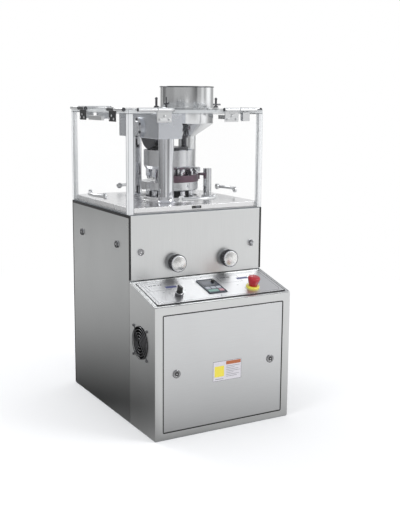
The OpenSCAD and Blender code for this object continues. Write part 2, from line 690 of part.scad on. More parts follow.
module hopper() color("silver") {
    w = hopper_wall;
    top = hopper_low + hopper_h;
    translate([hopper_at[0], hopper_at[1], 0]) {
        rotate_extrude() polygon([[neck_r, neck_low], [neck_r, neck_top], [hopper_r, hopper_low],
            [hopper_r, top - 4], [hopper_r + 2.5, top - 4], [hopper_r + 2.5, top],
            [hopper_r - w, top], [hopper_r - w, hopper_low + 0.5], [neck_r - w, neck_top + 0.5],
            [neck_r - w, neck_low]]);
        translate([0, 0, guard_top_z()]) difference() {
            union() {
                cylinder(h = 4, r = hopper_r + 8);
                for (side = [-1, 1])
                    translate([side * screw_off, 0, 0]) cylinder(h = 4, r = 10);
                for (side = [0, 180])
                    rotate(side) translate([hopper_r - 4, -10, 0]) cube([screw_off - hopper_r + 4, 20, 4]);
            }
            translate([0, 0, -cut]) cylinder(h = 6, r = hopper_r - w / 2);
            for (side = [-1, 1])
                translate([side * screw_off, 0, -cut]) cylinder(h = 6, r = 4 + fit);
        }
    }
}

// tablets are scraped off the die table and slide down to the back of the table
module discharge_chute() color("gainsboro") {
    chute_w = 46;
    chute_x = axis_x;
    translate([chute_x, axis_y + table_r + 3.5, die_top - 8]) rotate([-17, 0, 0]) difference() {
        cube([chute_w, 134, 20]);
        translate([2, -cut, 2]) cube([chute_w - 4, 140, 20]);
    }
    rod_z(chute_x + chute_w / 2, axis_y + table_r + 110, table_z, 20, 6);
    at_axis() rotate(78) box([50, -2, die_top + 0.6], [table_r + 12, 2, die_top + 7]);
}

// ---------- guard ----------
module guard_posts() color("white", 0.6) for (k = [-1, 1], l = [-1, 1])
    translate([k * (half_w - corner_w / 2), guard_y + l * (cab_d - corner_w) / 2, 0])
        translate([-corner_w / 2, -corner_w / 2, cab_h])
            cube([corner_w, corner_w, guard_h - top_t]);

module guard_top() color("white", 0.4) difference() {
    box([-half_w + gap, front_y + gap, guard_top_z() - top_t], [half_w - gap, back_y - gap, guard_top_z()]);
    rod_z(hopper_at[0], hopper_at[1], guard_top_z() - top_t - cut, top_t + 2 * cut, hopper_r + 1.5);
    for (side = [-1, 1])
        rod_z(hopper_at[0] + side * screw_off, hopper_at[1], guard_top_z() - top_t - cut, top_t + 2 * cut, 4 + fit);
}

module guard_hinges() color("dimgray") for (k = [0 : 3], m = [0, 1]) on_side(k) mirror([m, 0, 0]) {
    y = -side_half(k) - hinge_out;
    z = guard_top_z();
    rod_x(barrel[0], y, z, barrel[1] - barrel[0], hinge_r);
    rod_x(leaf[0] - 4, y, z, barrel[0] - leaf[0] + 6, pin_r);
    rod_x(leaf[0] - 4, y, z, 3, hinge_r);
    box([barrel[0] + 3, y, z], [barrel[1] - 3, y + 30, z + 3]);
}

module guard_door(k) on_side(k)
    box([-side_len(k) / 2, -side_half(k), guard_z],
        [side_len(k) / 2, -side_half(k) + door_t, guard_top_z() - top_t - gap]);
module front_guard() color("white", 0.3) guard_door(0);
module right_guard() color("white", 0.3) guard_door(1);
module rear_guard() color("white", 0.3) guard_door(2);
module left_guard() color("white", 0.3) guard_door(3);

module bow_handle() {
    rise = 24;
    bow_r = (handle_l * handle_l / 4 + rise * rise) / (2 * rise);
    half_a = acos(1 - (rise - 6) / bow_r);
    translate([0, bow_r - rise, 0]) rotate_extrude(angle = 2 * half_a, start = 270 - half_a)
        translate([bow_r, 0]) circle(r = 5.5, $fn = 24);
    for (side = [-1, 1])
        translate([side * (handle_l / 2 - 5), 0, 0]) rotate([90, 0, 0]) cylinder(h = 7, r = 10);
}

module fittings(k, block) color("silver") on_side(k) {
    y = -side_half(k);
    z = guard_top_z();
    for (m = [0, 1]) mirror([m, 0, 0]) {
        difference() {
            union() {
                box([leaf[0], y - leaf_t, z - 38], [leaf[1], y, z]);
                rod_x(leaf[0], y - hinge_out, z, leaf[1] - leaf[0], hinge_r);
            }
            rod_x(leaf[0] - cut, y - hinge_out, z, leaf[1] - leaf[0] + 2 * cut, pin_r + fit);
        }
        for (p = [[104, -30], [136, -30], [120, -20]])
            rod_y(p[0], y - leaf_t - 1.8, z + p[1], 1.8, 3.6);
    }
    box([block[0], y - 10, z - 36], [block[1], y, z - 36 + block[2]]);
    translate([0, y, handle_z]) bow_handle();
}
module front_fittings() fittings(0, [157, 183, 27]);
module right_fittings() fittings(1, [-52, 52, 14]);
module rear_fittings() fittings(2, [157, 183, 27]);
module left_fittings() fittings(3, [-52, 52, 14]);

// ---------- fan ----------
module fan_frame() color("black") translate([-half_w + sheet_t, fan_y, fan_z]) rotate([0, 90, 0]) difference() {
    translate([-fan_w / 2, -fan_w / 2, 0]) cube([fan_w, fan_w, fan_deep]);
    translate([0, 0, -cut]) cylinder(h = fan_deep - 4 + cut, r = fan_w / 2 - 3);
    translate([0, 0, fan_deep - 5]) difference() {
        cylinder(h = 6, r = fan_w / 2 - 3);
        translate([0, 0, -cut]) cylinder(h = 8, r = 20);
        for (a = [45 : 90 : 315])
            rotate(a) translate([18, -3, -cut]) cube([fan_w, 6, 8]);
    }
    for (x = [-1, 1], y = [-1, 1])
        translate([x * fan_pitch, y * fan_pitch, -cut]) cylinder(h = 12, r = 2);
}
module fan_rotor() color("dimgray") translate([-half_w + sheet_t, fan_y, fan_z]) rotate([0, 90, 0]) {
    translate([0, 0, 4]) cylinder(h = 28, r = 21);
    for (i = [0 : 6])
        rotate(i * 360 / 7) translate([20, 0, 18]) rotate([38, 0, 0]) translate([0, -1.5, -13])
            cube([fan_w / 2 - 26, 3, 26]);
}
module fan_guard() color("silver") translate([-half_w, fan_y, fan_z]) rotate([0, -90, 0]) {
    for (r = [14 : 9 : 50])
        translate([0, 0, 3]) rotate_extrude() translate([r, 0]) circle(r = 1.2, $fn = 16);
    for (a = [45, 135])
        rotate(a) rod_x(-64, 0, 1.2, 128, 1.2);
    for (x = [-1, 1], y = [-1, 1]) translate([x * fan_pitch, y * fan_pitch, 0]) {
        cylinder(h = 3.6, r = 4);
        translate([0, 0, -10]) cylinder(h = 10, r = 1.9);
    }
}

// ---------- controls ----------
module estop_collar() color("gold") on_slope(estop_x, estop_down) translate([0, 0, panel_top]) difference() {
    union() {
        cylinder(h = 6, r = 21.5);
        translate([0, 0, -34]) cylinder(h = 35, r = 10.9);
    }
    translate([0, 0, -20]) cylinder(h = 40, r = 7 + fit);
}
module estop_button() color("red") on_slope(estop_x, estop_down) translate([0, 0, panel_top]) {
    translate([0, 0, -12]) cylinder(h = 26, r = 7);
    translate([0, 0, 13]) rotate_extrude() polygon([[0, 0], [12.5, 0], [14, 6], [estop_d / 2 - 0.5, 15],
        [estop_d / 2, 18], [estop_d / 2 - 1.5, 20.5], [estop_d / 2 - 6, 22.5], [0, 24]]);
}
module selector_bezel() color("silver") on_slope(-estop_x, estop_down) translate([0, 0, panel_top]) difference() {
    union() {
        cylinder(h = 5, r = 12.5);
        translate([0, 0, 5]) cylinder(h = 4, r = 13.5);
        translate([0, 0, -30]) cylinder(h = 31, r = 7.9);
    }
    translate([0, 0, -14]) cylinder(h = 40, r = 5 + fit);
}
module selector_knob() color("black") on_slope(-estop_x, estop_down) translate([0, 0, panel_top]) {
    translate([0, 0, -10]) cylinder(h = 22, r = 5);
    translate([0, 0, 9.4]) cylinder(h = 5, r = 10);
    translate([-4, -11, 12]) cube([8, 22, 20]);
}

module key(x, row, width) on_slope(x, keypad_at + key_rows[row]) translate([0, 0, panel_top])
    translate([-width / 2, -key_h / 2, -3]) cube([width, key_h, 6]);
module keypad_case() color("darkslategray") on_slope(0, keypad_at) translate([0, 0, panel_top]) difference() {
    union() {
        translate([-keypad_w / 2, -keypad_l, 0]) cube([keypad_w, keypad_l, 2]);
        translate([-keypad_w / 2 + 3.5, -keypad_l + 3.5, -22]) cube([keypad_w - 7, keypad_l - 7, 23]);
    }
    for (i = [-1 : 1])
        translate([i * 19 - key_w / 2 - 0.5, -key_rows[0] - key_h / 2 - 0.5, -5])
            cube([key_w + 1, key_h + 1, 10]);
    translate([-9.5 - 18, -key_rows[1] - key_h / 2 - 0.5, -5]) cube([36, key_h + 1, 10]);
    translate([19 - key_w / 2 - 0.5, -key_rows[1] - key_h / 2 - 0.5, -5]) cube([key_w + 1, key_h + 1, 10]);
}
module menu_key() color("lightgray") key(-19, 0, key_w);
module shift_key() color("lightgray") key(0, 0, key_w);
module enter_key() color("lightgray") key(19, 0, key_w);
module run_key() color("mediumaquamarine") key(-9.5, 1, 35);
module stop_key() color("lightcoral") key(19, 1, key_w);

base_frame();
front_panel();
rear_panel();
side_panels();
console_housing();
console_door();
control_panel();
table_plate();
bed();
panel_locks();
door_lock_left();
door_lock_right();
fan_frame();
fan_rotor();
fan_guard();
estop_collar();
estop_button();
selector_bezel();
selector_knob();
keypad_case();
menu_key();
shift_key();
enter_key();
run_key();
stop_key();
thickness_wheel();
fill_wheel();
columns();
beam();
upper_axle();
upper_roller();
upper_cam();
turret();
dies();
upper_punches();
lower_punches();
main_shaft();
main_gear();
pinion();
gearmotor();
lower_axle();
lower_roller();
lower_cam();
fill_cam();
feeder();
feeder_post();
clamp_screws();
hopper();
discharge_chute();
guard_posts();
guard_top();
guard_hinges();
front_guard();
rear_guard();
left_guard();
right_guard();
front_fittings();
rear_fittings();
left_fittings();
right_fittings();
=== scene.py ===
"""Finishes, small hardware, studio and camera for a rotary tablet press. Metres, +Z up, console facing -Y."""
import json
import math

import bmesh
import bpy
from mathutils import Matrix, Vector

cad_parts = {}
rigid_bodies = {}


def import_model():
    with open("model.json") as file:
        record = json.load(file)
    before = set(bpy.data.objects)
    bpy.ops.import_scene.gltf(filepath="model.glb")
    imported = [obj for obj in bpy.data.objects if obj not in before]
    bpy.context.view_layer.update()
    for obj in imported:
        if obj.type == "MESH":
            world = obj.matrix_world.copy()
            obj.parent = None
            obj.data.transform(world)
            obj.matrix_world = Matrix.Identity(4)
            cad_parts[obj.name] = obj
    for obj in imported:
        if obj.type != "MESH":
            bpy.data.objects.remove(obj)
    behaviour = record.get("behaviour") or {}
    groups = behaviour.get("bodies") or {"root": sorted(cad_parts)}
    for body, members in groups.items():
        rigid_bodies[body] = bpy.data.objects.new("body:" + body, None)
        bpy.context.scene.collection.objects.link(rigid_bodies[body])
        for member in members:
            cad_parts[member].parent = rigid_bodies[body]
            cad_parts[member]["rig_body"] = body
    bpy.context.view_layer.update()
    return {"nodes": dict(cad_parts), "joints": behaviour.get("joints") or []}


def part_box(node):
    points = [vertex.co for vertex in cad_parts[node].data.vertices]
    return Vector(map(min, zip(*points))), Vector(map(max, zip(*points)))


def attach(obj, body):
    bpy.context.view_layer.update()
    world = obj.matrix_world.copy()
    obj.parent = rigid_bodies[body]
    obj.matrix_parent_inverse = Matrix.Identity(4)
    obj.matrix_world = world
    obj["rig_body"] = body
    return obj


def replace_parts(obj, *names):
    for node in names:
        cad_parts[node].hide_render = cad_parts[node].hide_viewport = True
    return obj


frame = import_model()
scene = bpy.context.scene
X, Y, Z = Vector((1, 0, 0)), Vector((0, 1, 0)), Vector((0, 0, 1))
MM = 0.001
JOINTS = {joint["name"]: joint for joint in frame["joints"]}


# Brightness of the studio round the horizon, for polished metal to mirror. Share 0 and 1 are -X, 0.25 is -Y.
HORIZON = [(0.0, 0.4), (0.03, 0.52), (0.21, 0.5), (0.25, 0.3), (0.29, 0.14), (0.305, 0.5), (0.33, 0.5),
           (0.345, 0.5), (0.36, 0.9), (0.385, 0.8), (0.405, 0.4), (0.45, 1.25), (0.49, 1.25), (0.54, 0.5),
           (0.6, 0.5), (0.64, 0.85), (0.73, 0.85), (0.78, 0.2), (0.795, 0.6), (0.812, 0.6), (0.825, 0.2),
           (0.87, 0.2), (0.9, 0.4), (1.0, 0.4)]
LOW_HORIZON = [(0.0, 0.28), (0.06, 0.3), (0.09, 0.1), (0.13, 0.35), (0.175, 1.1), (0.21, 0.45), (0.27, 0.4),
               (0.32, 1.0), (0.35, 1.1), (0.41, 1.3), (0.45, 0.7), (0.48, 0.4), (0.56, 0.25), (0.64, 0.85),
               (0.73, 0.85), (0.78, 0.2), (0.82, 0.14), (1.0, 0.28)]
# Brightness of the floor that polished metal mirrors: positions are shares of FLOOR_REACH metres from the middle.
FLOOR_SHADED = [(0.055, 0.05), (0.1, 0.17), (0.2, 0.42), (0.34, 0.6), (0.6, 0.68), (1.0, 0.7)]
FLOOR_BRIGHT = [(0.05, 0.36), (0.09, 0.54), (0.17, 0.84), (0.28, 0.94), (1.0, 0.94)]
FLOOR_REACH = 6.0


def mm(points, out=0.0, up=0.0):
    """Points given in millimetres from (out, up), as metres."""
    return [(x * MM + out, y * MM + up) for x, y in points]


def hexagon(radius):
    return [(radius * math.cos(k * math.pi / 3), radius * math.sin(k * math.pi / 3)) for k in range(6)]


def put(name, data):
    """A new object in the scene."""
    made = bpy.data.objects.new(name, data)
    scene.collection.objects.link(made)
    return made


def mesh_from(bm, name):
    mesh = bpy.data.meshes.new(name)
    bm.to_mesh(mesh)
    bm.free()
    return mesh


# ---------- camera, light and floor ----------
def make_camera():
    place = Vector((-1.341, -2.518, 1.015))
    yaw, pitch, roll = math.radians(29.631), math.radians(10.130), math.radians(0.4644)
    ahead = Vector((math.sin(yaw) * math.cos(pitch), math.cos(yaw) * math.cos(pitch), -math.sin(pitch)))
    level = Vector((math.cos(yaw), -math.sin(yaw), 0))
    right = math.cos(roll) * level + math.sin(roll) * level.cross(ahead)
    up = right.cross(ahead)
    data = bpy.data.cameras.new("camera")
    data.lens = 61.56
    data.sensor_fit = "VERTICAL"
    data.sensor_height = 36
    scene.camera = put("camera", data)
    scene.camera.matrix_world = Matrix.Translation(place) @ Matrix((right, up, -ahead)).transposed().to_4x4()
    scene.view_settings.view_transform = "Standard"


def add_node(tree, kind, inputs=None, **settings):
    """A node with each input linked to a socket or set to a plain value."""
    node = tree.nodes.new(kind)
    for name, value in settings.items():
        setattr(node, name, value)
    for name, value in (inputs or {}).items():
        if isinstance(value, bpy.types.NodeSocket):
            tree.links.new(value, node.inputs[name])
        else:
            node.inputs[name].default_value = value
    return node


def maths(tree, operation, *terms, **settings):
    return add_node(tree, "ShaderNodeMath", dict(enumerate(terms)), operation=operation, **settings).outputs[0]


def vectors(tree, operation, *terms):
    """Vector maths. A length and a dot product are numbers, on the node's second output."""
    node = add_node(tree, "ShaderNodeVectorMath", dict(enumerate(terms)), operation=operation)
    return node.outputs[1 if operation in ("LENGTH", "DOT_PRODUCT") else 0]


def blend(tree, share, one, two):
    """Mixes two colours."""
    return add_node(tree, "ShaderNodeMix", {0: share, 6: one, 7: two}, data_type="RGBA").outputs[2]


def remap(tree, value, low, high, new_low=0.0, new_high=1.0):
    return add_node(tree, "ShaderNodeMapRange", {0: value, 1: low, 2: high, 3: new_low, 4: new_high}).outputs[0]


def ramp(tree, along, stops):
    """A colour ramp of (position, grey) stops."""
    node = add_node(tree, "ShaderNodeValToRGB", {0: along})
    elements = node.color_ramp.elements
    while len(elements) > 1:
        elements.remove(elements[-1])
    elements[0].position = stops[0][0]
    elements[0].color = (stops[0][1],) * 3 + (1,)
    for position, grey in stops[1:]:
        elements.new(position).color = (grey,) * 3 + (1,)
    return node.outputs[0]


def bands_round(tree, split, stops):
    """A ramp that runs once round the vertical axis."""
    turn = maths(tree, "ARCTAN2", split.outputs[1], split.outputs[0])
    return ramp(tree, remap(tree, turn, -math.pi, math.pi), stops)


def make_world():
    """White behind the machine, with soft light and dark bands round the horizon for polished metal to mirror."""
    scene.world = bpy.data.worlds.new("studio")
    scene.world.use_nodes = True
    tree = scene.world.node_tree
    tree.nodes.clear()
    where = add_node(tree, "ShaderNodeTexCoord")
    split = add_node(tree, "ShaderNodeSeparateXYZ", {0: where.outputs["Generated"]})
    sky = blend(tree, remap(tree, split.outputs[2], 0.3, 0.6), bands_round(tree, split, HORIZON),
                (0.57, 0.58, 0.6, 1))
    path = add_node(tree, "ShaderNodeLightPath")
    lighting = blend(tree, path.outputs["Is Glossy Ray"], (0.86, 0.87, 0.89, 1), sky)
    shown = blend(tree, path.outputs["Is Camera Ray"], lighting, (1, 1, 1, 1))
    backdrop = add_node(tree, "ShaderNodeBackground", {0: shown})
    add_node(tree, "ShaderNodeOutputWorld", {0: backdrop.outputs[0]})


def make_light(name, place, aim, size, power, mirrored=True):
    data = bpy.data.lights.new(name, "AREA")
    data.shape = "RECTANGLE"
    data.size, data.size_y = size
    data.energy = power
    lamp = put(name, data)
    lamp.location = place
    lamp.visible_glossy = mirrored
    lamp.rotation_euler = (Vector(aim) - Vector(place)).to_track_quat("-Z", "Y").to_euler()


def make_floor():
    """Pale floor that fades to white far off. Metal mirrors it darker beside and close to the machine."""
    bm = bmesh.new()
    bmesh.ops.create_circle(bm, cap_ends=True, segments=96, radius=14)
    floor = put("floor", mesh_from(bm, "floor"))
    material = bpy.data.materials.new("floor")
    material.use_nodes = True
    tree = material.node_tree
    tree.nodes.clear()
    where = add_node(tree, "ShaderNodeTexCoord")
    far = vectors(tree, "LENGTH", where.outputs["Object"])
    split = add_node(tree, "ShaderNodeSeparateXYZ", {0: where.outputs["Object"]})
    reach = maths(tree, "DIVIDE", far, FLOOR_REACH)
    lit_side = remap(tree, maths(tree, "SUBTRACT", split.outputs[0], split.outputs[1]), -0.35, 0.4)
    near = blend(tree, lit_side, ramp(tree, reach, FLOOR_SHADED), ramp(tree, reach, FLOOR_BRIGHT))
    beyond = bands_round(tree, split, LOW_HORIZON)
    mirrored = add_node(tree, "ShaderNodeEmission", {0: blend(tree, remap(tree, far, 5.0, 6.5), near, beyond)})
    pale = add_node(tree, "ShaderNodeBsdfDiffuse", {0: (0.95, 0.95, 0.95, 1)})
    white = add_node(tree, "ShaderNodeEmission")
    seen = add_node(tree, "ShaderNodeMixShader", {0: remap(tree, far, 0.5, 2.4), 1: pale.outputs[0],
                                                  2: white.outputs[0]})
    path = add_node(tree, "ShaderNodeLightPath")
    both = add_node(tree, "ShaderNodeMixShader", {0: path.outputs["Is Glossy Ray"], 1: seen.outputs[0],
                                                  2: mirrored.outputs[0]})
    add_node(tree, "ShaderNodeOutputMaterial", {0: both.outputs[0]})
    floor.data.materials.append(material)


# ---------- shader groups ----------
def start_group(name, **inputs):
    group = bpy.data.node_groups.new(name, "ShaderNodeTree")
    for label, kind in inputs.items():
        group.interface.new_socket(label, in_out="INPUT", socket_type="NodeSocket" + kind)
    group.interface.new_socket("Mask", in_out="OUTPUT", socket_type="NodeSocketFloat")
    return group, add_node(group, "NodeGroupInput").outputs


def end_group(group, mask):
    add_node(group, "NodeGroupOutput", {0: mask})
    return group


def grain_group():
    """Streaks or specks: noise on a stretched position."""
    group, given = start_group("grain", Vector="Vector", Stretch="Vector", Contrast="Float")
    pulled = vectors(group, "MULTIPLY", given[0], given[1])
    noise = add_node(group, "ShaderNodeTexNoise", {"Vector": pulled, "Scale": 1.0, "Detail": 3.0, "Roughness": 0.6})
    centred = maths(group, "SUBTRACT", noise.outputs["Fac"], 0.5)
    return end_group(group, maths(group, "MULTIPLY_ADD", centred, given[2], 0.5, use_clamp=True))


def turning_group():
    """Fine rings round an axis, as a lathe leaves them. Across is 1 in the two directions across the axis."""
    group, given = start_group("turning", Vector="Vector", Centre="Vector", Across="Vector", Rings="Float")
    moved = vectors(group, "SUBTRACT", given[0], given[1])
    flat = vectors(group, "MULTIPLY", moved, given[2])
    depth = vectors(group, "LENGTH", vectors(group, "SUBTRACT", moved, flat))
    reach = maths(group, "ADD", vectors(group, "LENGTH", flat), depth)
    count = maths(group, "MULTIPLY", reach, given[3])
    noise = add_node(group, "ShaderNodeTexNoise", {"W": count, "Scale": 1.0, "Detail": 2.0}, noise_dimensions="1D")
    return end_group(group, noise.outputs["Fac"])


def rim_group():
    """1 on the narrow edges of a clear sheet, 0 on its faces. Faces names the sheet's flat direction."""
    group, given = start_group("sheet rim", Normal="Vector", Faces="Vector")
    across = maths(group, "ABSOLUTE", vectors(group, "DOT_PRODUCT", given[0], given[1]))
    return end_group(group, maths(group, "LESS_THAN", across, 0.5))


GRAIN, TURNING, RIM = grain_group(), turning_group(), rim_group()


# ---------- finishes ----------
def start_material(name):
    material = bpy.data.materials.new(name)
    material.use_nodes = True
    tree = material.node_tree
    return material, tree, tree.nodes["Principled BSDF"], add_node(tree, "ShaderNodeTexCoord").outputs


def use_group(tree, group, **inputs):
    return add_node(tree, "ShaderNodeGroup", inputs, node_tree=group).outputs[0]


def worked(name, group, colour, rough, shade, smear, depth, metal=1.0, coat=0.0, **marks):
    """A finish whose colour, roughness and bump follow fine marks and broad smudges."""
    material, tree, shader, where = start_material(name)
    shader.inputs["Metallic"].default_value = metal
    shader.inputs["Coat Weight"].default_value = coat
    mask = use_group(tree, group, Vector=where["Object"], **marks)
    tone = blend(tree, mask, tuple(c * (1 - shade) for c in colour) + (1,), colour + (1,))
    smudge = use_group(tree, GRAIN, Vector=where["Object"], Stretch=(9, 9, 7), Contrast=1.6)
    bump = add_node(tree, "ShaderNodeBump", {"Strength": 1.0, "Distance": depth, "Height": mask})
    tree.links.new(tone, shader.inputs["Base Color"])
    tree.links.new(remap(tree, smudge, 0.0, 1.0, rough - smear, rough + smear), shader.inputs["Roughness"])
    tree.links.new(bump.outputs[0], shader.inputs["Normal"])
    return material


def brushed(name, colour, rough=0.3, stretch=(1400, 1400, 12), shade=0.1, smear=0.04, depth=1.4e-5):
    return worked(name, GRAIN, colour, rough, shade, smear, depth, Stretch=stretch, Contrast=1.5)


def turned(name, colour, rough, centre, across, rings=1500, shade=0.1, smear=0.03, depth=1e-5):
    return worked(name, TURNING, colour, rough, shade, smear, depth, Centre=centre, Across=across, Rings=rings)


def moulded(name, colour, rough=0.45, specks=2600, shade=0.12, depth=1.5e-5, coat=0.0):
    return worked(name, GRAIN, colour, rough, shade, 0.05, depth, 0.0, coat, Stretch=(specks,) * 3, Contrast=1.4)


def clear_sheet(name, faces, face_alpha=0.008, rim_alpha=0.5, rim_tint=(0.8, 0.83, 0.84)):
    """Clear acrylic: open straight through its faces, milky along its cut edges, brighter at grazing angles."""
    material, tree, shader, where = start_material(name)
    shader.inputs["IOR"].default_value = 1.49
    rim = use_group(tree, RIM, Normal=where["Normal"], Faces=faces)
    tone = blend(tree, rim, (0.97, 0.99, 1.0, 1), rim_tint + (1,))
    graze = add_node(tree, "ShaderNodeLayerWeight", {"Blend": 0.5}).outputs["Facing"]
    open_face = maths(tree, "MULTIPLY_ADD", maths(tree, "POWER", graze, 5.0), 0.3, face_alpha, use_clamp=True)
    alpha = add_node(tree, "ShaderNodeMix", {0: rim, 2: open_face, 3: rim_alpha})
    haze = use_group(tree, GRAIN, Vector=where["Object"], Stretch=(14, 14, 11), Contrast=1.2)
    tree.links.new(tone, shader.inputs["Base Color"])
    tree.links.new(remap(tree, haze, 0.0, 1.0, 0.02, 0.12), shader.inputs["Roughness"])
    tree.links.new(alpha.outputs[0], shader.inputs["Alpha"])
    return material


AXIS = Vector(JOINTS["turret_spin"]["pos_m"])
ROUND_Z, ROUND_Y = (1, 1, 0), (1, 0, 1)


def box_middle(node):
    low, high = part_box(node)
    return (low + high) / 2


FINISH = {
    "brushed_stainless": brushed("brushed front sheet", (0.76, 0.77, 0.77), 0.34),
    # The side and rear panels are the front's brushed stainless with a darker base colour: painted shade.
    "side_stainless": brushed("brushed side sheet with painted shade", (0.60, 0.61, 0.61), 0.3),
    "door_stainless": brushed("brushed door sheet", (0.76, 0.77, 0.78), 0.33, (12, 1400, 1400)),
    "panel_film": brushed("satin faceplate", (0.74, 0.74, 0.75), 0.42, (12, 1800, 1800), 0.03, 0.03, 4e-6),
    "bright_steel": turned("polished steel", (0.84, 0.85, 0.87), 0.12, AXIS, ROUND_Z),
    "machined_steel": brushed("ground steel", (0.70, 0.71, 0.73), 0.22, (900, 900, 900), 0.12),
    "frame_paint": moulded("grey frame paint", (0.24, 0.26, 0.28), 0.5, 900, 0.15, 4e-5),
    "beam_grey": brushed("satin plated beam", (0.66, 0.68, 0.72), 0.26, (500, 500, 500), 0.06, depth=8e-6),
    "dark_steel": brushed("blackened steel", (0.10, 0.10, 0.11), 0.3, (1500, 60, 60), 0.3),
    "gear_bronze": turned("machined bronze", (0.66, 0.50, 0.28), 0.25, AXIS, ROUND_Z),
    "motor_paint": moulded("motor enamel", (0.16, 0.26, 0.42), 0.4, 1200, 0.1, 3e-5, 0.3),
    "feeder_bronze": brushed("dark bronze", (0.17, 0.11, 0.14), 0.3, (500, 500, 500), 0.25),
    "hinge_metal": brushed("satin aluminium", (0.80, 0.81, 0.82), 0.3, (12, 12, 1500), 0.1),
    "fan_black": moulded("black fan plastic", (0.012, 0.012, 0.013), 0.42),
    "fan_wire": brushed("blackened wire", (0.20, 0.20, 0.21), 0.3, (700, 700, 700), 0.05),
    "estop_yellow": moulded("yellow plastic", (0.86, 0.78, 0.10), 0.35, coat=0.3),
    "estop_red": moulded("red plastic", (0.44, 0.012, 0.026), 0.3, coat=0.4),
    "control_black": moulded("black plastic", (0.012, 0.012, 0.012), 0.3, coat=0.2),
    "keypad_dark": moulded("dark keypad plastic", (0.035, 0.045, 0.065), 0.4),
    "key_grey": moulded("grey key rubber", (0.46, 0.48, 0.53), 0.55),
    "key_green": moulded("green key rubber", (0.26, 0.42, 0.38), 0.55),
    "key_red": moulded("red key rubber", (0.56, 0.32, 0.36), 0.55),
}
HOPPER_STEEL = turned("spun hopper steel", (0.76, 0.77, 0.78), 0.13, box_middle("hopper"), ROUND_Z, 500, 0.06)
KNOB_FACE = {node: turned(node + " knob face", (0.9, 0.9, 0.89), 0.26, box_middle(node), ROUND_Y, 1300,
                          depth=5e-5) for node in ("thickness_wheel", "fill_wheel")}
for face in KNOB_FACE.values():
    ring_way = add_node(face.node_tree, "ShaderNodeTangent", direction_type="RADIAL", axis="Y")
    shader = face.node_tree.nodes["Principled BSDF"]
    shader.inputs["Anisotropic"].default_value = 0.85
    face.node_tree.links.new(ring_way.outputs[0], shader.inputs["Tangent"])
BLACK_RUBBER = moulded("black rubber", (0.02, 0.02, 0.021), 0.6, 1500, 0.2, 3e-5)
PRINT_GREY = moulded("grey ink", (0.16, 0.165, 0.18), 0.5, 900, 0.1, 1e-6)
PRINT_BLUE = moulded("blue ink", (0.09, 0.10, 0.22), 0.5, 900, 0.1, 1e-6)
DISPLAY = moulded("display glass", (0.02, 0.026, 0.04), 0.3, 300, 0.3, 1e-6, 0.2)
READOUT = moulded("display readout", (0.05, 0.06, 0.09), 0.35, 300, 0.2, 1e-6, 0.1)
LABEL_WHITE = moulded("white label", (0.64, 0.62, 0.66), 0.45, 700, 0.04, 1e-6)
LABEL_YELLOW = moulded("yellow label", (0.80, 0.68, 0.08), 0.45, 700, 0.06, 1e-6)
LABEL_ORANGE = moulded("orange label", (0.44, 0.13, 0.05), 0.45, 700, 0.06, 1e-6)
PANE = {"x": clear_sheet("clear side door", X), "y": clear_sheet("clear front door", Y),
        "z": clear_sheet("clear top sheet", Z, 0.02, 0.62, (0.62, 0.64, 0.65)),
        # The clear posts' faces are pale and partly opaque: painted light carried along the posts.
        "post": clear_sheet("clear post with painted glow", Z, 0.3, 0.62, (0.88, 0.89, 0.9))}
# Polished metal with a near-black base colour, used where bright parts mirror dark surroundings: painted dark
# reflection.
CHROME_PAINTED_DARK_REFLECTION = brushed("chrome with painted dark reflection", (0.16, 0.16, 0.17), 0.12, (900, 900, 900), 0.05)
# Bright lock chrome given a darker steel colour so the rings show: painted shade.
LOCK_STEEL_PAINTED_SHADE = brushed("lock ring steel with painted shade", (0.34, 0.34, 0.35), 0.18, (900, 900, 900), 0.05)
TABLE_STEEL = brushed("ground table steel", (0.86, 0.86, 0.87), 0.26, (900, 900, 900), 0.06)
# Near-black copy of the satin hinge aluminium for the left hinge leaves: painted shade.
LEFT_LEAF_PAINTED_SHADE = brushed("hinge leaf with painted shade", (0.10, 0.10, 0.105), 0.35, (12, 12, 1500), 0.1)
# Dark grey on the clear sheets' broken edges: painted shade for the dark lines clear acrylic shows there.
PANE_EDGE_PAINTED_SHADE = moulded("painted dark line on acrylic edges", (0.24, 0.25, 0.26), 0.4, 900, 0.1, 1e-6)
COLUMN_STEEL = brushed("polished column steel", (0.76, 0.77, 0.8), 0.1, (200, 200, 1800), 0.06, 0.02, 5e-6)


# ---------- mesh building ----------
def placed(build):
    """Moves what a Shape method builds to the Shape's place."""
    def run(self, *given, **named):
        old = set(self.bm.verts)
        build(self, *given, **named)
        bmesh.ops.transform(self.bm, matrix=self.at, verts=[v for v in self.bm.verts if v not in old])
        return self
    return run


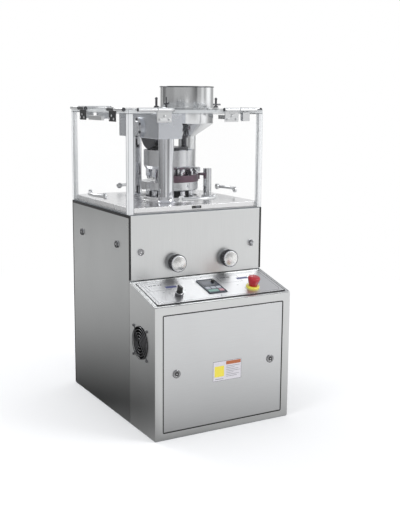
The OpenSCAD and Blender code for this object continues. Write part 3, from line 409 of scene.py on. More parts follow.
class Shape:
    """A mesh under construction. Each solid is placed by the matrix in self.at."""

    def __init__(self, at=None):
        self.bm = bmesh.new()
        self.at = at or Matrix.Identity(4)

    def join(self, loops, closed=False):
        """Faces from each loop of vertices to the next."""
        for one, two in list(zip(loops, loops[1:])) + ([(loops[-1], loops[0])] if closed else []):
            for i in range(len(one)):
                j = (i + 1) % len(one)
                corners = list(dict.fromkeys([one[i], one[j], two[j], two[i]]))
                if len(corners) > 2:
                    self.bm.faces.new(corners)

    @placed
    def block(self, low, high, soft=0.0, steps=2):
        low, high = Vector(low), Vector(high)
        verts = bmesh.ops.create_cube(self.bm, size=1.0)["verts"]
        bmesh.ops.scale(self.bm, vec=high - low, verts=verts)
        bmesh.ops.translate(self.bm, vec=(low + high) / 2, verts=verts)
        if soft:
            edges = list({e for v in verts for e in v.link_edges})
            bmesh.ops.bevel(self.bm, geom=edges, offset=soft, segments=steps, profile=0.5, affect="EDGES",
                            clamp_overlap=True)

    @placed
    def lathe(self, profile, sides=40, closed=False, base=(0, 0, 0)):
        """Turns (radius, height) points round the local Z axis through base."""
        base = Vector(base)
        angles = [2 * math.pi * i / sides for i in range(sides)]
        rings = []
        for radius, height in profile:
            if radius < 1e-7:
                rings.append([self.bm.verts.new(base + Z * height)] * sides)
            else:
                rings.append([self.bm.verts.new(base + Vector((radius * math.cos(a), radius * math.sin(a), height)))
                              for a in angles])
        self.join(rings, closed)

    def rod(self, base, length, radius, soft=0.0, sides=32, tip=None):
        """A round bar along local Z from base, with chamfered ends."""
        top = radius if tip is None else tip
        profile = [(0, 0), (radius - soft, 0), (radius, soft), (top, length - soft), (top - soft, length),
                   (0, length)]
        return self.lathe(profile, sides, base=base)

    @placed
    def plate(self, outline, low, high):
        """A flat plate: an outline of (x, y) points between two heights."""
        bottom, top = [[self.bm.verts.new((x, y, z)) for x, y in outline] for z in (low, high)]
        self.bm.faces.new(bottom)
        self.bm.faces.new(top)
        self.join([bottom, top])

    @placed
    def band(self, outer, inner, low, high):
        """A flat ring between two outlines that have the same number of points."""
        self.join([[self.bm.verts.new((x, y, z)) for x, y in line]
                   for line, z in ((outer, low), (outer, high), (inner, high), (inner, low))], closed=True)

    def object(self, name):
        bmesh.ops.recalc_face_normals(self.bm, faces=self.bm.faces)
        made = put(name, mesh_from(self.bm, name))
        smooth(made.data)
        return made

    def piece(self, name, material, body, slot):
        made = self.object(name)
        made.data.materials.append(material)
        return settle(made, body)


def smooth(mesh):
    mesh.polygons.foreach_set("use_smooth", [True] * len(mesh.polygons))
    mesh.set_sharp_from_angle(angle=math.radians(38))


def settle(piece, body):
    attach(piece, body)
    return piece


def rounded(width, height, radius, steps=5, centre=(0, 0)):
    """Outline of a rectangle with rounded corners."""
    corners = [(1, 1, 0), (-1, 1, 90), (-1, -1, 180), (1, -1, 270)]
    return [(centre[0] + sx * (width / 2 - radius) + radius * math.cos(math.radians(start + 90 * k / steps)),
             centre[1] + sy * (height / 2 - radius) + radius * math.sin(math.radians(start + 90 * k / steps)))
            for sx, sy, start in corners for k in range(steps + 1)]


def facing(place, direction):
    """A matrix that puts local Z along direction at place."""
    return Matrix.Translation(Vector(place)) @ Vector(direction).to_track_quat("Z", "Y").to_matrix().to_4x4()


def softened(node, slot, width, material=None, line=None):
    """A copy of a CAD node with its sharp edges broken, as deburred metal has them. It stands for the node."""
    source = frame["nodes"][node]
    bm = bmesh.new()
    bm.from_mesh(source.data)
    bmesh.ops.remove_doubles(bm, verts=bm.verts, dist=2e-6)
    bmesh.ops.dissolve_limit(bm, angle_limit=math.radians(0.5), verts=bm.verts, edges=bm.edges)
    piece = put(node + "_finished", mesh_from(bm, node + "_finished"))
    for finish in (material or FINISH[slot], line):
        if finish:
            piece.data.materials.append(finish)
    smooth(piece.data)
    bevel = piece.modifiers.new("edges", "BEVEL")
    bevel.width = width
    bevel.segments = 2
    bevel.limit_method = "ANGLE"
    bevel.angle_limit = math.radians(32)
    bevel.use_clamp_overlap = False
    bevel.harden_normals = True
    bevel.material = 1 if line else -1
    settle(piece, source["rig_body"])
    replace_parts(piece, node)
    return piece


# ---------- geometry nodes ----------
def start_tree(name, **inputs):
    tree = bpy.data.node_groups.new(name, "GeometryNodeTree")
    tree.is_modifier = True
    for label, kind in inputs.items():
        tree.interface.new_socket(label, in_out="INPUT", socket_type="NodeSocket" + kind)
    tree.interface.new_socket("Geometry", in_out="OUTPUT", socket_type="NodeSocketGeometry")
    return tree, add_node(tree, "NodeGroupInput").outputs


def end_tree(tree, copies, material):
    """Makes the copies real, gives them their material and puts them out."""
    real = add_node(tree, "GeometryNodeRealizeInstances", {0: copies.outputs[0]})
    dressed = add_node(tree, "GeometryNodeSetMaterial", {0: real.outputs[0], 2: material})
    add_node(tree, "NodeGroupOutput", {0: dressed.outputs[0]})
    return tree


def scatter_tree():
    """Puts a fastener on every point of a mesh, pointing along the attribute 'facing'."""
    tree, given = start_tree("fasteners on points", Points="Geometry", Fastener="Object", Size="Float",
                             Material="Material")
    shape = add_node(tree, "GeometryNodeObjectInfo", {0: given[1]})
    way = add_node(tree, "GeometryNodeInputNamedAttribute", {"Name": "facing"}, data_type="FLOAT_VECTOR")
    turn = add_node(tree, "FunctionNodeAlignRotationToVector", {"Vector": way.outputs[0]}, axis="Z")
    copies = add_node(tree, "GeometryNodeInstanceOnPoints",
                      {"Points": given[0], "Instance": shape.outputs["Geometry"], "Rotation": turn.outputs[0],
                       "Scale": given[2]})
    return end_tree(tree, copies, given[3])


def ring_tree():
    """Repeats a shape round the local Z axis."""
    tree, given = start_tree("shapes round an axis", Geometry="Geometry", Count="Int", Material="Material")
    points = add_node(tree, "GeometryNodePoints", {0: given[1]})
    index = add_node(tree, "GeometryNodeInputIndex")
    angle = maths(tree, "MULTIPLY", maths(tree, "DIVIDE", index.outputs[0], given[1]), 2 * math.pi)
    turn = add_node(tree, "ShaderNodeCombineXYZ", {2: angle})
    copies = add_node(tree, "GeometryNodeInstanceOnPoints",
                      {"Points": points.outputs[0], "Instance": given[0], "Rotation": turn.outputs[0]})
    return end_tree(tree, copies, given[2])


SCATTER, RING = scatter_tree(), ring_tree()


def grow(carrier, tree, inputs, name, body, place=None):
    """Runs a node tree on carrier and keeps the result as a plain piece."""
    modifier = carrier.modifiers.new("grow", "NODES")
    modifier.node_group = tree
    sockets = {s.name: s.identifier for s in tree.interface.items_tree if s.in_out == "INPUT"}
    for label, value in inputs.items():
        modifier[sockets[label]] = value
    bpy.context.view_layer.update()
    mesh = bpy.data.meshes.new_from_object(carrier.evaluated_get(bpy.context.evaluated_depsgraph_get()))
    carrier.modifiers.remove(modifier)
    bpy.data.objects.remove(carrier)
    if place:
        mesh.transform(place)
    mesh.name = name
    smooth(mesh)
    return settle(put(name, mesh), body)


def fasteners(name, shape, spots, size, body, slot="bright_steel"):
    """spots: (place, direction) pairs. The fastener's mesh has its seat at 0 and its head up +Z."""
    mesh = bpy.data.meshes.new(name + "_points")
    mesh.from_pydata([tuple(place) for place, way in spots], [], [])
    facings = mesh.attributes.new("facing", "FLOAT_VECTOR", "POINT")
    for i, (place, way) in enumerate(spots):
        facings.data[i].vector = Vector(way)
    grow(put(name + "_points", mesh), SCATTER, {"Fastener": shape, "Size": size, "Material": FINISH[slot]}, name,
         body)


def template(shape, name):
    """A shape that only the node trees use."""
    made = shape.object(name)
    scene.collection.objects.unlink(made)
    return made


def socket_screw():
    """Button-head screw of unit radius with a hexagon socket."""
    screw = Shape().lathe([(0.46, 0.62), (0.72, 0.6), (0.93, 0.42), (1.0, 0.16), (1.0, 0.0), (0.3, 0.0), (0.3, 0.2),
                           (0.46, 0.2)], 24, closed=True)
    screw.plate(hexagon(0.42), 0.02, 0.24)
    return template(screw, "socket_screw")


def cross_screw():
    """Pan-head screw of unit radius with a raised cross between four sunk quarters."""
    screw = Shape().lathe([(0, 0.0), (1.0, 0.0), (1.0, 0.2), (0.86, 0.45), (0.6, 0.58), (0, 0.6)], 24)
    screw.block((-0.55, -0.1, 0.5), (0.55, 0.1, 0.66)).block((-0.1, -0.55, 0.5), (0.1, 0.55, 0.66))
    return template(screw, "cross_screw")


make_camera()
make_world()
make_floor()
make_light("key", (2.4, -2.6, 2.9), (0, -0.1, 0.6), (1.8, 1.8), 46)
make_light("fill", (-3.0, -1.2, 2.0), (0, 0, 0.7), (1.4, 2.2), 22, False)
make_light("back", (-0.8, 2.6, 2.8), (0, 0, 0.9), (2.0, 1.0), 30)
SOCKET_SCREW, CROSS_SCREW = socket_screw(), cross_screw()


# ---------- places taken from the frame ----------
def joint_place(name):
    return Vector(JOINTS[name]["pos_m"])


SLOPE_UP = -Vector(JOINTS["estop_push"]["axis"])
SLOPE_DOWN = Vector((0, -SLOPE_UP.z, SLOPE_UP.y))
SLOPE_TOP = Vector((0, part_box("console_housing")[1].y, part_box("console_housing")[1].z))
FACEPLATE = 2 * MM
KEYPAD_TOP = 4 * MM
STATIONS = 9
PITCH = 70 * MM
TURRET_PLACE = Matrix.Translation((AXIS.x, AXIS.y, 0))
CABINET_LOW, CABINET_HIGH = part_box("side_panels")
PANEL_FRONT, PANEL_REAR = CABINET_LOW.y - 2 * MM, CABINET_HIGH.y + 2 * MM
DOOR_LOW, DOOR_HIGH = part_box("console_door")
GUARD_LOW, GUARD_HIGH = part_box("guard_top")
GUARD_MIDDLE = Vector((0, (GUARD_LOW.y + GUARD_HIGH.y) / 2, 0))
FEEDER_KNOB = (AXIS.x + 104 * MM * math.cos(math.radians(3)), AXIS.y + 104 * MM * math.sin(math.radians(3)),
               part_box("feeder")[0].z + 26.5 * MM)


def on_slope(x, down, up=FACEPLATE):
    """Local X across, local Y uphill, local Z out of the console's slope."""
    turn = Matrix((X, -SLOPE_DOWN, SLOPE_UP)).transposed().to_4x4()
    return Matrix.Translation(SLOPE_TOP + X * x + SLOPE_DOWN * down + SLOPE_UP * up) @ turn


def on_side(k):
    """Local -Y is outwards: 0 front, 1 right, 2 rear, 3 left."""
    return Matrix.Translation(GUARD_MIDDLE) @ Matrix.Rotation(math.radians(90 * k), 4, "Z")


def side_half(k):
    reach = GUARD_HIGH.y - GUARD_LOW.y if k % 2 == 0 else GUARD_HIGH.x - GUARD_LOW.x
    return reach / 2 + 1 * MM


# ---------- carried-over nodes ----------
PLAIN = {
    "frame_paint": ("base_frame", "bed"), "motor_paint": ("gearmotor",), "gear_bronze": ("main_gear", "fill_cam"),
    "machined_steel": ("pinion", "lower_axle", "main_shaft", "turret", "upper_axle"), "fan_wire": ("fan_guard",),
    "dark_steel": ("lower_roller", "lower_cam", "upper_roller", "upper_cam"), "feeder_bronze": ("feeder",),
    "bright_steel": ("dies", "panel_locks", "thickness_wheel", "fill_wheel", "clamp_screws", "selector_bezel",
                     "door_lock_left", "door_lock_right"), "fan_black": ("fan_rotor",),
}
# Finish, width of the broken edge in millimetres, nodes.
SOFT = [
    ("brushed_stainless", 0.5, ("front_panel",)), ("side_stainless", 0.5, ("rear_panel", "side_panels")),
    ("brushed_stainless", 0.6, ("console_housing",)), ("door_stainless", 0.7, ("console_door",)),
    ("panel_film", 0.4, ("control_panel",)), ("machined_steel", 1.2, ("table_plate",)),
    ("fan_black", 0.8, ("fan_frame",)), ("control_black", 1.0, ("selector_knob",)),
    ("keypad_dark", 0.5, ("keypad_case",)), ("key_grey", 0.9, ("menu_key", "shift_key", "enter_key")),
    ("key_green", 0.9, ("run_key",)), ("key_red", 0.9, ("stop_key",)), ("beam_grey", 2.0, ("beam",)),
    ("machined_steel", 0.8, ("feeder_post",)), ("brushed_stainless", 0.4, ("discharge_chute",)),
    ("hinge_metal", 0.5, ("guard_hinges", "front_fittings", "rear_fittings", "left_fittings", "right_fittings")),
]
# The selector bezel is chrome; its near-black copy is a painted dark reflection.
LOOKS = {"selector_bezel": CHROME_PAINTED_DARK_REFLECTION, "clamp_screws": CHROME_PAINTED_DARK_REFLECTION, "table_plate": TABLE_STEEL}
for slot, nodes in PLAIN.items():
    for node in nodes:
        frame["nodes"][node].data.materials.clear()
        frame["nodes"][node].data.materials.append(LOOKS.get(node, FINISH[slot]))
for slot, width, nodes in SOFT:
    for node in nodes:
        made = softened(node, slot, width * MM, LOOKS.get(node))
        # The left fittings' upper leaves, away from the middle, take the near-black copy: painted shade on that
        # side.
        if node == "left_fittings":
            made.data.materials.append(LEFT_LEAF_PAINTED_SHADE)
            for face in made.data.polygons:
                high, along = face.center.z > GUARD_LOW.z - 40 * MM, abs(face.center.y - GUARD_MIDDLE.y)
                face.material_index = int(high and along > 90 * MM)
for node, pane in (("front_guard", "y"), ("rear_guard", "y"), ("left_guard", "x"), ("right_guard", "x"),
                   ("guard_top", "z"), ("guard_posts", "post")):
    softened(node, "clear_acrylic", 0.9 * MM, PANE[pane], PANE_EDGE_PAINTED_SHADE)


# ---------- press head ----------
def make_columns():
    """Two polished columns with flared feet, their studs and the nuts under the table."""
    low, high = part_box("columns")
    foot, shaft, stud, steps = 33 * MM, 25 * MM, 15 * MM, 8
    table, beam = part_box("feeder_post")[0].z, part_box("beam")[0].z
    flare = [(foot - (foot - shaft) * math.sin(math.pi / 2 * k / steps),
              table + 3 * MM + 17 * MM * (1 - math.cos(math.pi / 2 * k / steps))) for k in range(steps + 1)]
    profile = [(0, low.z), (stud, low.z), (stud, table), (foot - 1 * MM, table), (foot, table + 1 * MM), *flare,
               (shaft, beam - 0.6 * MM), (shaft - 0.6 * MM, beam), (stud, beam), (stud, high.z - 1 * MM),
               (stud - 1 * MM, high.z), (0, high.z)]
    shape = Shape()
    for y in (low.y + foot, high.y - foot):
        shape.at = Matrix.Translation(((low.x + high.x) / 2, y, 0))
        shape.lathe(profile, 64).plate(hexagon(24 * MM), table - 42 * MM, table - 20 * MM)
    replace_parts(shape.piece("columns_finished", COLUMN_STEEL, "cabinet", "bright_steel"), "columns")


def make_punches(node, lower_end, upper_end):
    """One punch turned on its own axis, repeated round the turret. Each end's heights are from the node's box."""
    low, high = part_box(node)
    punch = Shape(Matrix.Translation((PITCH, 0, 0)))
    punch.lathe(mm(lower_end, up=low.z) + mm(upper_end, up=high.z), 32)
    made = grow(punch.object(node), RING, {"Count": STATIONS, "Material": COLUMN_STEEL}, node + "_finished",
                "turret", TURRET_PLACE)
    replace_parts(made, node)


def make_turret_trim():
    """Black folded sleeve round the turret's bare metal waist, painted shade for the dark band under the die table;
    black lock screws in the die table, painted shade for their dark holes.
    """
    folds = [(radius, z) for fold in range(1, 25, 4)
             for radius, z in ((56, fold), (56.6, fold + 1), (56, fold + 2), (53, fold + 3))]
    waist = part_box("turret")[0].z + 50 * MM
    # Black sleeve: painted shade under the die table.
    shade_sleeve = Shape(TURRET_PLACE).lathe(mm([(50.2, 0.2), *folds, (50.2, 24.6)], up=waist), 64, closed=True)
    shade_sleeve.piece("turret_sleeve", BLACK_RUBBER, "turret", "control_black")
    screw = Shape(facing((88.6 * MM, 0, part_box("dies")[1].z - 10.5 * MM), X))
    screw.lathe(mm([(0, -0.6), (4.7, -0.6), (4.7, 0.6), (2.6, 0.6), (2.6, -0.2), (0, -0.2)]), 24)
    # Black lock screws: painted shade in their holes.
    grow(screw.object("lock"), RING, {"Count": STATIONS, "Material": BLACK_RUBBER}, "die_lock_screws", "turret",
         TURRET_PLACE)


def make_hopper():
    """Spun hopper with a beaded rim, a weld line and its flange with two ears."""
    low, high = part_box("hopper")
    centre = Vector(((low.x + high.x) / 2, (low.y + high.y) / 2, 0))
    wall, thick, neck, shelf, ear, sides, bends = 91.5 * MM, 1.5 * MM, 28.5 * MM, GUARD_HIGH.z, 10 * MM, 96, 5
    cone_top, cone_low, reach = shelf - 50 * MM, shelf - 93 * MM, (high.x - low.x) / 2
    shoulder = [(wall - 4 * MM * (1 - math.sin(math.pi / 2 * k / bends)), cone_top - 3 * MM + 5 * MM * k / bends)
                for k in range(bends + 1)]
    outside = [(neck, low.z), (neck, cone_low), *shoulder, (wall, high.z - 4.4 * MM), (wall, high.z - 1 * MM)]
    inside = [(wall - thick, high.z - 1 * MM), (wall - thick, cone_top + 2 * MM),
              (neck - thick, cone_low + 1 * MM), (neck - thick, low.z)]
    flange = mm([(-0.6, 0), (7.4, 0), (8, 0.6), (8, 3.4), (7.4, 4), (-0.6, 4)], wall, shelf)
    shape = Shape(Matrix.Translation(centre)).lathe(outside + inside, sides, closed=True)
    shape.lathe(flange, sides, closed=True)
    for side in (-1, 1):
        shape.at = Matrix.Translation(centre + X * side * ((wall + reach - ear) / 2 + 4 * MM))
        shape.plate(rounded(reach - wall + 2 * MM, 2 * ear, ear - 0.1 * MM, 8), shelf, shelf + 4 * MM)
    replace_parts(shape.piece("hopper_finished", HOPPER_STEEL, "cabinet", "bright_steel"), "hopper")
    bead = [(0.4 + 1.9 * math.sin(a), -2.1 - 2.1 * math.cos(a)) for a in (math.pi * k / 8 for k in range(9))]
    rim = Shape(Matrix.Translation(centre))
    rim.lathe(mm([(-0.9, -4.2), *bead, (-0.9, 0)], wall, high.z), sides, closed=True)
    # The rim bead takes the near-black chrome: painted dark reflection.
    rim.piece("hopper_rim", CHROME_PAINTED_DARK_REFLECTION, "cabinet", "bright_steel")
    seam = Shape(Matrix.Translation(centre) @ Matrix.Rotation(math.radians(120), 4, "Z"))
    seam.block((wall - 0.2 * MM, -1 * MM, cone_top + 2 * MM), (wall + 0.25 * MM, 1 * MM, high.z - 5 * MM), 0.2 * MM)
    seam.piece("hopper_weld", FINISH["machined_steel"], "cabinet", "bright_steel")


def make_axle_cap():
    """Turned cover on the upper axle's flange, with a ring of screws."""
    low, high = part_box("upper_axle")
    centre = Vector((low.x, AXIS.y, high.z - 34 * MM))
    cap = Shape(facing(centre, -X))
    cap.lathe(mm([(0, -1), (22, -1), (22, 2.2), (21, 3), (14, 3), (13.4, 2), (6, 2), (5, 0.5), (0, 0.5)]), 48)
    cap.piece("upper_axle_cap", FINISH["machined_steel"], "cabinet", "machined_steel")
    spots = [(centre + Vector((0, 28 * MM * math.cos(a), 28 * MM * math.sin(a))), -X)
             for a in (math.radians(30 + 60 * k) for k in range(6))]
    fasteners("axle_flange_screws", SOCKET_SCREW, spots, 4.2 * MM, "cabinet", "dark_steel")


def make_feeder_trim():
    """Thumb screws along the feeder, and grip ridges on its clamp knob."""
    seat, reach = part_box("clamp_screws")[0].z, 92 * MM
    shape = Shape()
    for angle in (-92, -64, -36, -8):
        a = math.radians(angle)
        shape.at = Matrix.Translation((AXIS.x + reach * math.cos(a), AXIS.y + reach * math.sin(a), seat))
        shape.rod((0, 0, -3 * MM), 6 * MM, 2 * MM, 0.3 * MM, 16)
        shape.rod((0, 0, 2 * MM), 3 * MM, 5 * MM, 0.6 * MM, 24)
        shape.rod((0, 0, 5 * MM), 9 * MM, 3.4 * MM, 0.8 * MM, 20, tip=4.6 * MM)
    shape.piece("feeder_thumb_screws", FINISH["bright_steel"], "cabinet", "bright_steel")
    ridge = Shape(Matrix.Translation((15 * MM, 0, 0))).rod((0, 0, 0), 14 * MM, 0.9 * MM, 0.2 * MM, 8)
    grow(ridge.object("ridge"), RING, {"Count": 40, "Material": FINISH["bright_steel"]}, "feeder_knob_knurl",
         "cabinet", Matrix.Translation(FEEDER_KNOB))


make_columns()
make_punches("upper_punches", [(0, 0), (5.6, 0), (6, 0.4), (6, 7), (8.9, 8), (9.5, 9)],
             [(9.5, -24), (7, -22.5), (7, -11), (11.4, -7.4), (12, -6.6), (12, -4.4), (10.5, -1.6), (8, 0), (0, 0)])
make_punches("lower_punches", [(0, 0), (8, 0), (10.5, 1.6), (12, 4.4), (12, 8), (7, 11), (7, 19.5), (9.5, 21)],
             [(9.5, -25), (8.5, -24), (5, -23.9), (5, -0.3), (4.7, 0), (0, 0)])
make_turret_trim()
make_hopper()
make_axle_cap()
make_feeder_trim()


# ---------- cabinet front ----------
def make_knob(node, joint):
    """Turned face and dark knurled rim on an adjusting knob."""
    centre = Vector((joint_place(joint).x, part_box(node)[0].y, joint_place(joint).z))
    face = Shape(facing(centre, -Y))
    face.lathe(mm([(0, -1.2), (22.8, -3), (22.8, -1.8), (22, -1.4), (3, 0.3), (0, 0.4)]), 72)
    face.piece(node + "_face", KNOB_FACE[node], node, "bright_steel")
    ridge = Shape(Matrix.Translation((26.8 * MM, 0, 0)) @ Matrix.Rotation(math.radians(45), 4, "Z"))
    ridge.block((-0.9 * MM, -0.9 * MM, -21 * MM), (0.9 * MM, 0.9 * MM, -4 * MM), 0.3 * MM, 1)
    grow(ridge.object("ridge"), RING, {"Count": 72, "Material": FINISH["dark_steel"]}, node + "_knurl", node,
         facing(centre, -Y))


def make_lock(place, way, body, name, ring=10.8, steel=LOCK_STEEL_PAINTED_SHADE, cap=FINISH["control_black"], wing=0.0):
    """Quarter-turn lock: a steel ring round a black barrel, with a key stud or a wing."""
    at = facing(place, way)
    collar = mm([(6.2, -1.5), (ring, -1.5), (ring, 0.7), (ring - 1.2, 1.7), (7.4, 1.7), (6.2, 0.8)])
    Shape(at).lathe(collar, 40, closed=True).piece(name + "_ring", steel, body, "bright_steel")
    barrel = mm([(0, -0.2), (6.4, -0.2), (6.4, 0.5), (0, 0.7)])
    Shape(at).lathe(barrel, 32).piece(name + "_barrel", cap, body, "control_black")
    stud = Shape(at).rod((0, 0, 0.3 * MM), 1.3 * MM + wing, 2 * MM, 0.3 * MM, 16)
    if wing:
        stud.rod((0, 0, 1 * MM), wing - 2 * MM, 6 * MM, 0.6 * MM, 24, tip=4 * MM)
        stud.block((-1.2 * MM, -9 * MM, wing - 4 * MM), (1.2 * MM, 9 * MM, wing + 5 * MM), 0.5 * MM)
    stud.piece(name + "_stud", FINISH["bright_steel"], body, "bright_steel")


def make_locks():
    """Two locks on the console door, two on the upper front panel and two on each side panel."""
    for name in ("door_lock_left", "door_lock_right"):
        place = joint_place(name + "_turn")
        place.y = DOOR_LOW.y - 1.6 * MM
        make_lock(place, -Y, name, name, 13)
    proud, apart, front_height, side_height = 3 * MM, 201 * MM, 548 * MM, 563 * MM
    face = PANEL_FRONT - proud
    make_lock((-apart, face, front_height), -Y, "cabinet", "panel_lock_front_left", cap=LOCK_STEEL_PAINTED_SHADE)
    make_lock((apart, face, front_height), -Y, "cabinet", "panel_lock_front_right", wing=9 * MM)
    for side, name in ((-1, "left"), (1, "right")):
        for y, end in ((PANEL_FRONT + 90 * MM, "near"), (PANEL_REAR - 86 * MM, "far")):
            place = (side * (CABINET_HIGH.x + proud), y, side_height)
            # Side panel locks take the near-black chrome: painted dark reflection.
            make_lock(place, side * X, "cabinet", "panel_lock_" + name + "_" + end, 11.5, CHROME_PAINTED_DARK_REFLECTION)


def make_seams():
    """Black rubber along the cabinet's seams, and a black band round the console door that paints the shadow in its
    gap.
    """
    seal, soft = Shape(), 0.2 * MM
    x, top, console = CABINET_HIGH.x, CABINET_HIGH.z, 462 * MM
    for side in (-1, 1):
        edge, corner = side * x, side * (x - 2.9 * MM)
        seal.block((edge - 0.5 * MM, PANEL_FRONT - 0.3 * MM, top - 7 * MM),
                   (edge + 0.5 * MM, PANEL_REAR, top + 1.8 * MM), soft)
        seal.block((corner - 3.4 * MM, PANEL_FRONT - 0.5 * MM, console),
                   (corner + 3.4 * MM, PANEL_FRONT + 1.5 * MM, top), soft)
        seal.block((edge - 0.5 * MM, PANEL_REAR - 4 * MM, 4 * MM),
                   (edge + 0.5 * MM, PANEL_REAR + 0.4 * MM, top), soft)
    seal.block((-x, PANEL_REAR - 1 * MM, top - 3 * MM), (x, PANEL_REAR + 0.35 * MM, top + 1.6 * MM), soft)
    seal.piece("cabinet_seams", BLACK_RUBBER, "cabinet", "control_black")
    # The black band round the door is painted shadow in the door's gap.
    wide, tall = DOOR_HIGH.x - DOOR_LOW.x + 0.8 * MM, DOOR_HIGH.z - DOOR_LOW.z + 0.8 * MM
    rim = Shape(facing((0, DOOR_LOW.y, (DOOR_LOW.z + DOOR_HIGH.z) / 2), -Y))
    rim.band(rounded(wide + 6 * MM, tall + 6 * MM, 5 * MM), rounded(wide, tall, 2 * MM), -0.4 * MM, 0.5 * MM)
    rim.piece("door_seal", BLACK_RUBBER, "cabinet", "control_black")


def outline(x0, x1, y0, y1, corner, steps, inset=0.0):
    """Rounded rectangle between two corners in millimetres, drawn inset from them."""
    return rounded((x1 - x0 - 2 * inset) * MM, (y1 - y0 - 2 * inset) * MM, (corner - inset) * MM, steps,
                   ((x0 + x1) / 2 * MM, (y0 + y1) / 2 * MM))


def make_label():
    """Plain rating label on the door: blank colour fields and unreadable lines. Places are in millimetres."""
    at = facing((0, DOOR_LOW.y, 0), -Y)
    for name, edges, material, lift in (("label_base", (-41, 60, 158, 220), LABEL_WHITE, 0.2),
                                        ("label_yellow_field", (-36, -2, 171, 205), LABEL_YELLOW, 0.3),
                                        ("label_orange_band", (5, 58, 207, 218), LABEL_ORANGE, 0.3)):
        field = Shape(at).plate(outline(*edges, 1.5, 4), -0.1 * MM, lift * MM)
        field.piece(name, material, "console_door", "panel_film")
    lines = Shape(at)
    rows = [(6, 6 + length, 201 - k * 5.4, 1.2) for k, length in enumerate((48, 30, 44, 50, 26, 46, 38))]
    for x0, x1, z, thick in rows + [(-34, -4, 163, 1.5)]:
        lines.block((x0 * MM, z * MM, 0.1 * MM), (x1 * MM, (z + thick) * MM, 0.28 * MM))
    rim = (-41.5, 60.5, 157.5, 220.5)
    lines.band(outline(*rim, 1.6, 4), outline(-40.5, 59.5, 158.5, 219.5, 0.8, 4), -0.1 * MM, 0.26 * MM)
    lines.piece("label_lines", PRINT_GREY, "console_door", "panel_film")


# ---------- console ----------
# Printed frames and bars as (left, right, upper, lower) in millimetres, down the slope from its top.
FRAMES = [((-216, 216, 27, 163), 1.3, 5), ((-206, -98, 33, 82), 1.1, 4), ((49, 125, 33, 79), 1.1, 4)]
BLUE_BARS = [(-148, -110, 60, 73), (113, 155, 52, 65)]
CAPTIONS = [(left + k * step, left + k * step + length, upper, upper + 5)
            for k, length in enumerate((7, 5, 8, 4, 6, 5)) for left, step, upper in ((-198, 8, 44), (58, 6, 40))]
MARKS = [(x - 3, x + 3, s, s + 2) for x, s in ((-152, 40), (-96, 96), (-168, 96), (-132, 100), (92, 100),
                                               (172, 100), (160, 44), (176, 38))]


def make_print():
    """Printed frames, bars and marks on the faceplate as thin raised ink, and two dark lines round it: the inner
    paints the shadow along the faceplate's edge, the outer runs along the housing near its edge.
    """
    ink = 0.12 * MM
    grey, blue = Shape(on_slope(0, 0)), Shape(on_slope(0, 0))
    for (x0, x1, s0, s1), line, corner in FRAMES:
        grey.band(outline(x0, x1, -s1, -s0, corner, 5), outline(x0, x1, -s1, -s0, corner, 5, line), -ink / 2, ink)
    for shape, bars in ((blue, BLUE_BARS), (grey, CAPTIONS + MARKS)):
        for x0, x1, s0, s1 in bars:
            shape.block((x0 * MM, -s1 * MM, -ink / 2), (x1 * MM, -s0 * MM, ink))
    grey.piece("faceplate_marks", PRINT_GREY, "cabinet", "panel_film")
    # Inner band: painted shadow along the faceplate's edge. Outer band: a dark line along the housing near its edge.
    seal = Shape(on_slope(0, 0))
    seal.band(outline(-227, 227, -173, -19, 3, 5), outline(-225.2, 225.2, -171.2, -20.8, 2, 5), -1.6 * MM, 0.15 * MM)
    seal.at = on_slope(0, 0, 0)
    seal.band(outline(-236.5, 236.5, -177, -5, 3, 5), outline(-235.2, 235.2, -175.7, -6.3, 2, 5), -0.2 * MM, ink)
    seal.piece("faceplate_seal", BLACK_RUBBER, "cabinet", "control_black")
    blue.piece("faceplate_bars", PRINT_BLUE, "cabinet", "panel_film")


def make_keypad():
    """Raised bezel, display glass, readout and a small black dial on the keypad."""
    at = on_slope(0, 0, KEYPAD_TOP)
    bezel = Shape(at)
    bezel.band(outline(-31.5, 31.5, -139, -46, 3, 5), outline(-29, 29, -136.5, -48.5, 2, 5), -1 * MM, 1 * MM)
    bezel.piece("keypad_bezel", FINISH["keypad_dark"], "cabinet", "keypad_dark")
    glass = Shape(at).plate(outline(-26, 26, -90, -52, 2, 5), -0.5 * MM, 0.5 * MM)
    glass.piece("keypad_display", DISPLAY, "cabinet", "keypad_dark")
    lit = Shape(at).plate(outline(-23.5, 9.5, -82, -62, 1, 4), 0.3 * MM, 0.7 * MM)
    lit.piece("keypad_readout", READOUT, "cabinet", "keypad_dark")
    dial = Shape(on_slope(19 * MM, 66 * MM, KEYPAD_TOP))
    dial.lathe(mm([(0, 0), (7, 0), (7, 1.4), (5.2, 2), (4.8, 7), (4, 8), (0, 8)]), 32)
    dial.piece("keypad_dial", FINISH["control_black"], "cabinet", "control_black")


def make_console_trim():
    """Faceplate screws, the selector's white pointer and its bright ring."""
    spots = [(on_slope(x * MM, s * MM).translation, SLOPE_UP) for x in (-214, 0, 214) for s in (24, 157)]
    fasteners("faceplate_screws", CROSS_SCREW, spots, 2.6 * MM, "cabinet")
    knob_top = joint_place("selector_turn") + SLOPE_UP * 31.6 * MM
    pointer = Shape(Matrix.Translation(knob_top) @ on_slope(0, 0, 0).to_3x3().to_4x4())
    pointer.block((-0.8 * MM, 1 * MM, 0), (0.8 * MM, 10 * MM, 0.7 * MM))
    pointer.piece("selector_pointer", LABEL_WHITE, "selector_knob", "control_black")
    ring = mm([(10.4, 8.6), (12, 8.6), (12, 9.8), (11.4, 10.4), (10.4, 10.4)])
    chrome = Shape(on_slope(-132 * MM, 127 * MM)).lathe(ring, 40, closed=True)
    chrome.piece("selector_ring", FINISH["bright_steel"], "cabinet", "bright_steel")


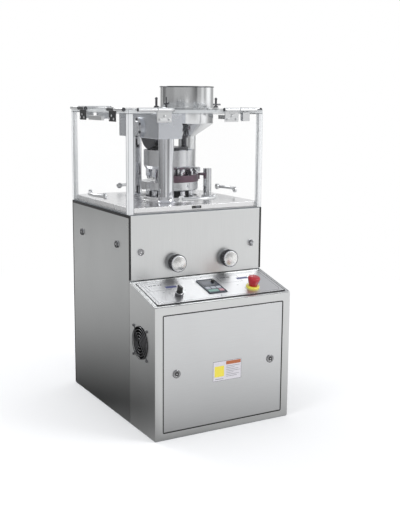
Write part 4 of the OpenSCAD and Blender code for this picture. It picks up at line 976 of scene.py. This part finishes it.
def make_estop():
    """Cupped yellow collar, and a red head with a skirt that sinks into it."""
    place = on_slope(132 * MM, 127 * MM)
    collar = mm([(7.3, -34), (10.9, -34), (10.9, 0), (21.5, 0), (21.5, 4.6), (20, 6), (14.2, 6), (13.4, 5),
                 (13.4, 0.4), (7.3, 0.4)])
    cup = Shape(place).lathe(collar, 56, closed=True)
    made = cup.piece("estop_collar_finished", FINISH["estop_yellow"], "cabinet", "estop_yellow")
    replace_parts(made, "estop_collar")
    button = mm([(0, -12), (7, -12), (7, 5.6), (12.8, 5.6), (13.4, 12), (15.4, 13.4), (17.2, 20), (19, 26),
                 (19.5, 29), (19.3, 32.4), (17.6, 35), (14, 36.4), (8, 37), (0, 37)])
    head = Shape(place).lathe(button, 64)
    made = head.piece("estop_button_finished", FINISH["estop_red"], "estop_button", "estop_red")
    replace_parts(made, "estop_button")


def make_nameplate():
    """Small blank plate on the table's front edge."""
    low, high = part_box("table_plate")
    place = facing((0, low.y, (low.z + high.z) / 2 - 3 * MM), -Y)
    dark = Shape(place).plate(rounded(34 * MM, 9 * MM, 1 * MM, 3), -0.3 * MM, 0.6 * MM)
    dark.piece("edge_plate", FINISH["control_black"], "cabinet", "control_black")
    pale = Shape(place).plate(rounded(14 * MM, 5 * MM, 0.6 * MM, 3, (5 * MM, 0)), 0.4 * MM, 0.8 * MM)
    pale.piece("edge_plate_field", PRINT_GREY, "cabinet", "panel_film")


def make_hinge_caps():
    """Dark caps on the ends of the guard's hinge barrels."""
    caps = Shape()
    for k in range(4):
        for mirror in (-1, 1):
            for along in (89 * MM, 209 * MM):
                axle = Vector((mirror * along, -side_half(k) - 5 * MM, GUARD_HIGH.z))
                caps.at = on_side(k) @ facing(axle, mirror * X)
                caps.rod((0, 0, 0), 2.4 * MM, 6.2 * MM, 0.5 * MM, 20)
    caps.piece("hinge_caps", CHROME_PAINTED_DARK_REFLECTION, "cabinet", "hinge_metal")


def make_guard_screws():
    """Three cross-head screws in every hinge leaf."""
    for k, name in enumerate(("front", "right", "rear", "left")):
        out = on_side(k)
        face = -side_half(k) - 4.2 * MM
        way = out.to_3x3() @ -Y
        spots = [(out @ Vector((m * x * MM, face, GUARD_HIGH.z + z * MM)), way)
                 for m in (-1, 1) for x, z in ((104, -30), (136, -30), (120, -20))]
        fasteners(name + "_leaf_screws", CROSS_SCREW, spots, 3.9 * MM, name + "_guard", "hinge_metal")


make_knob("thickness_wheel", "thickness_turn")
make_knob("fill_wheel", "fill_turn")
make_locks()
make_seams()
make_label()
make_print()
make_keypad()
make_console_trim()
make_estop()
make_nameplate()
make_hinge_caps()
make_guard_screws()
